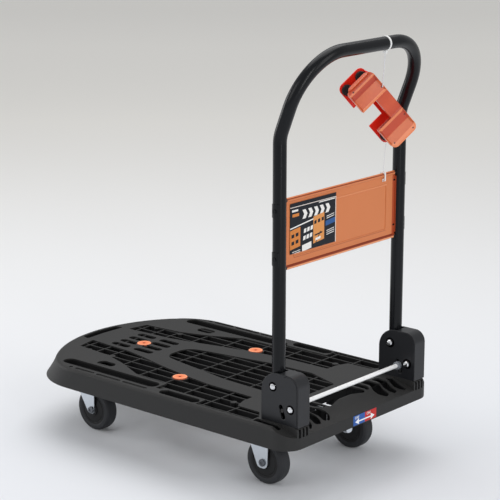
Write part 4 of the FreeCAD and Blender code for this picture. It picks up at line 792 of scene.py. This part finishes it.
def makeLine(name):
    line = lines[name]
    curve = bpy.data.curves.new("nylon_" + name, "CURVE")
    curve.dimensions = "3D"
    curve.bevel_depth = line["thick"] / 2
    curve.bevel_resolution = 4
    curve.use_fill_caps = True
    spline = curve.splines.new("NURBS")
    spline.points.add(len(line["points"]) - 1)
    for point, spot in zip(spline.points, line["points"]):
        point.co = (*spot, 1.0)
    spline.order_u = 3
    spline.use_endpoint_u = True
    made = bpy.data.objects.new("nylon_" + name, curve)
    bpy.context.collection.objects.link(made)
    curve.materials.append(clearNylon)
    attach(made, "handle")
    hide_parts(line["node"])


for name in lines:
    makeLine(name)
print("lines strung")


camera = {"at": (-2.58321, 2.91200, 1.43071), "yaw": -49.382, "pitch": 14.306, "roll": 0.066,
          "lens": 130.32, "sensor": 36, "farthest": 60}


def makeCamera():
    bpy.ops.object.camera_add(location=camera["at"])
    made = bpy.context.object
    made.name = "camera"
    yaw, pitch = math.radians(camera["yaw"]), math.radians(camera["pitch"])
    ahead = Vector((math.cos(yaw) * math.cos(pitch), math.sin(yaw) * math.cos(pitch), -math.sin(pitch)))
    turn = ahead.to_track_quat("-Z", "Y").to_matrix()
    made.rotation_euler = (turn @ Matrix.Rotation(math.radians(camera["roll"]), 3, "Z")).to_euler()
    made.data.lens = camera["lens"]
    made.data.sensor_width = camera["sensor"]
    made.data.clip_end = camera["farthest"]
    bpy.context.scene.camera = made


makeCamera()
print("camera placed")


# the floor fades from one grey to a warmer one, away from the viewer, and glows a little in the distance
studio = {"floor": 16, "near": linear(224, 226, 230), "far": linear(232, 230, 225),
          "awayX": 0.65, "awayY": 0.76, "colourFade": 4.0, "glowFade": 8.0,
          "glow": [(0.0, 0.015), (0.25, 0.05), (0.5, 0.125), (0.8, 0.14), (1.0, 0.11)],
          "tint": (1.0, 0.985, 0.93, 1.0), "world": linear(224, 225, 227), "worldStrength": 0.7}

lamps = {
    "top": {"at": (0.4, -0.6, 3.2), "size": (3.0, 3.0), "power": 55},
    "left": {"at": (1.0, 3.4, 2.0), "size": (2.0, 2.0), "power": 24},
    "right": {"at": (-3.6, -0.6, 1.8), "size": (1.6, 2.4), "power": 22},
    "strip": {"at": (-3.2, 1.5, 1.3), "size": (0.3, 2.4), "power": 20},
    "rim": {"at": (3.4, 0.9, 1.2), "size": (1.2, 1.6), "power": 22},
}
lampTarget = Vector((0, 0, 0.4))


def makeStage():
    s = studio
    bpy.ops.mesh.primitive_plane_add(size=s["floor"])
    floor = bpy.context.object
    floor.name = "floor"
    m = Graph("floor_paper")
    seen = m.node("ShaderNodeLightPath", output="Is Camera Ray")
    mirrored = m.node("ShaderNodeLightPath", output="Is Glossy Ray")
    away = m.axis("X") * s["awayX"] - m.axis("Y") * s["awayY"]
    glow = m.ramp(away / s["glowFade"], [(at, grey(level)) for at, level in s["glow"]])
    glow = glow * m.math("MAXIMUM", seen, mirrored)
    m.set(Base_Color=m.mix(away / s["colourFade"], s["near"], s["far"]), Roughness=0.85)
    m.set(Emission_Color=m.mix(glow, grey(0.0), s["tint"]), Emission_Strength=1.0)
    floor.data.materials.append(m.material)
    world = bpy.data.worlds.new("studio")
    bpy.context.scene.world = world
    world.use_nodes = True
    world.node_tree.nodes["Background"].inputs["Color"].default_value = s["world"]
    world.node_tree.nodes["Background"].inputs["Strength"].default_value = s["worldStrength"]


def makeLamp(name):
    lamp = lamps[name]
    bpy.ops.object.light_add(type="AREA", location=lamp["at"])
    made = bpy.context.object
    made.name = name
    made.data.shape = "RECTANGLE"
    made.data.size, made.data.size_y = lamp["size"]
    made.data.energy = lamp["power"]
    made.rotation_euler = (lampTarget - Vector(lamp["at"])).to_track_quat("-Z", "Y").to_euler()


startFresh()
makeStage()
for name in lamps:
    makeLamp(name)
bpy.context.scene.view_settings.view_transform = "Standard"
print("studio made")
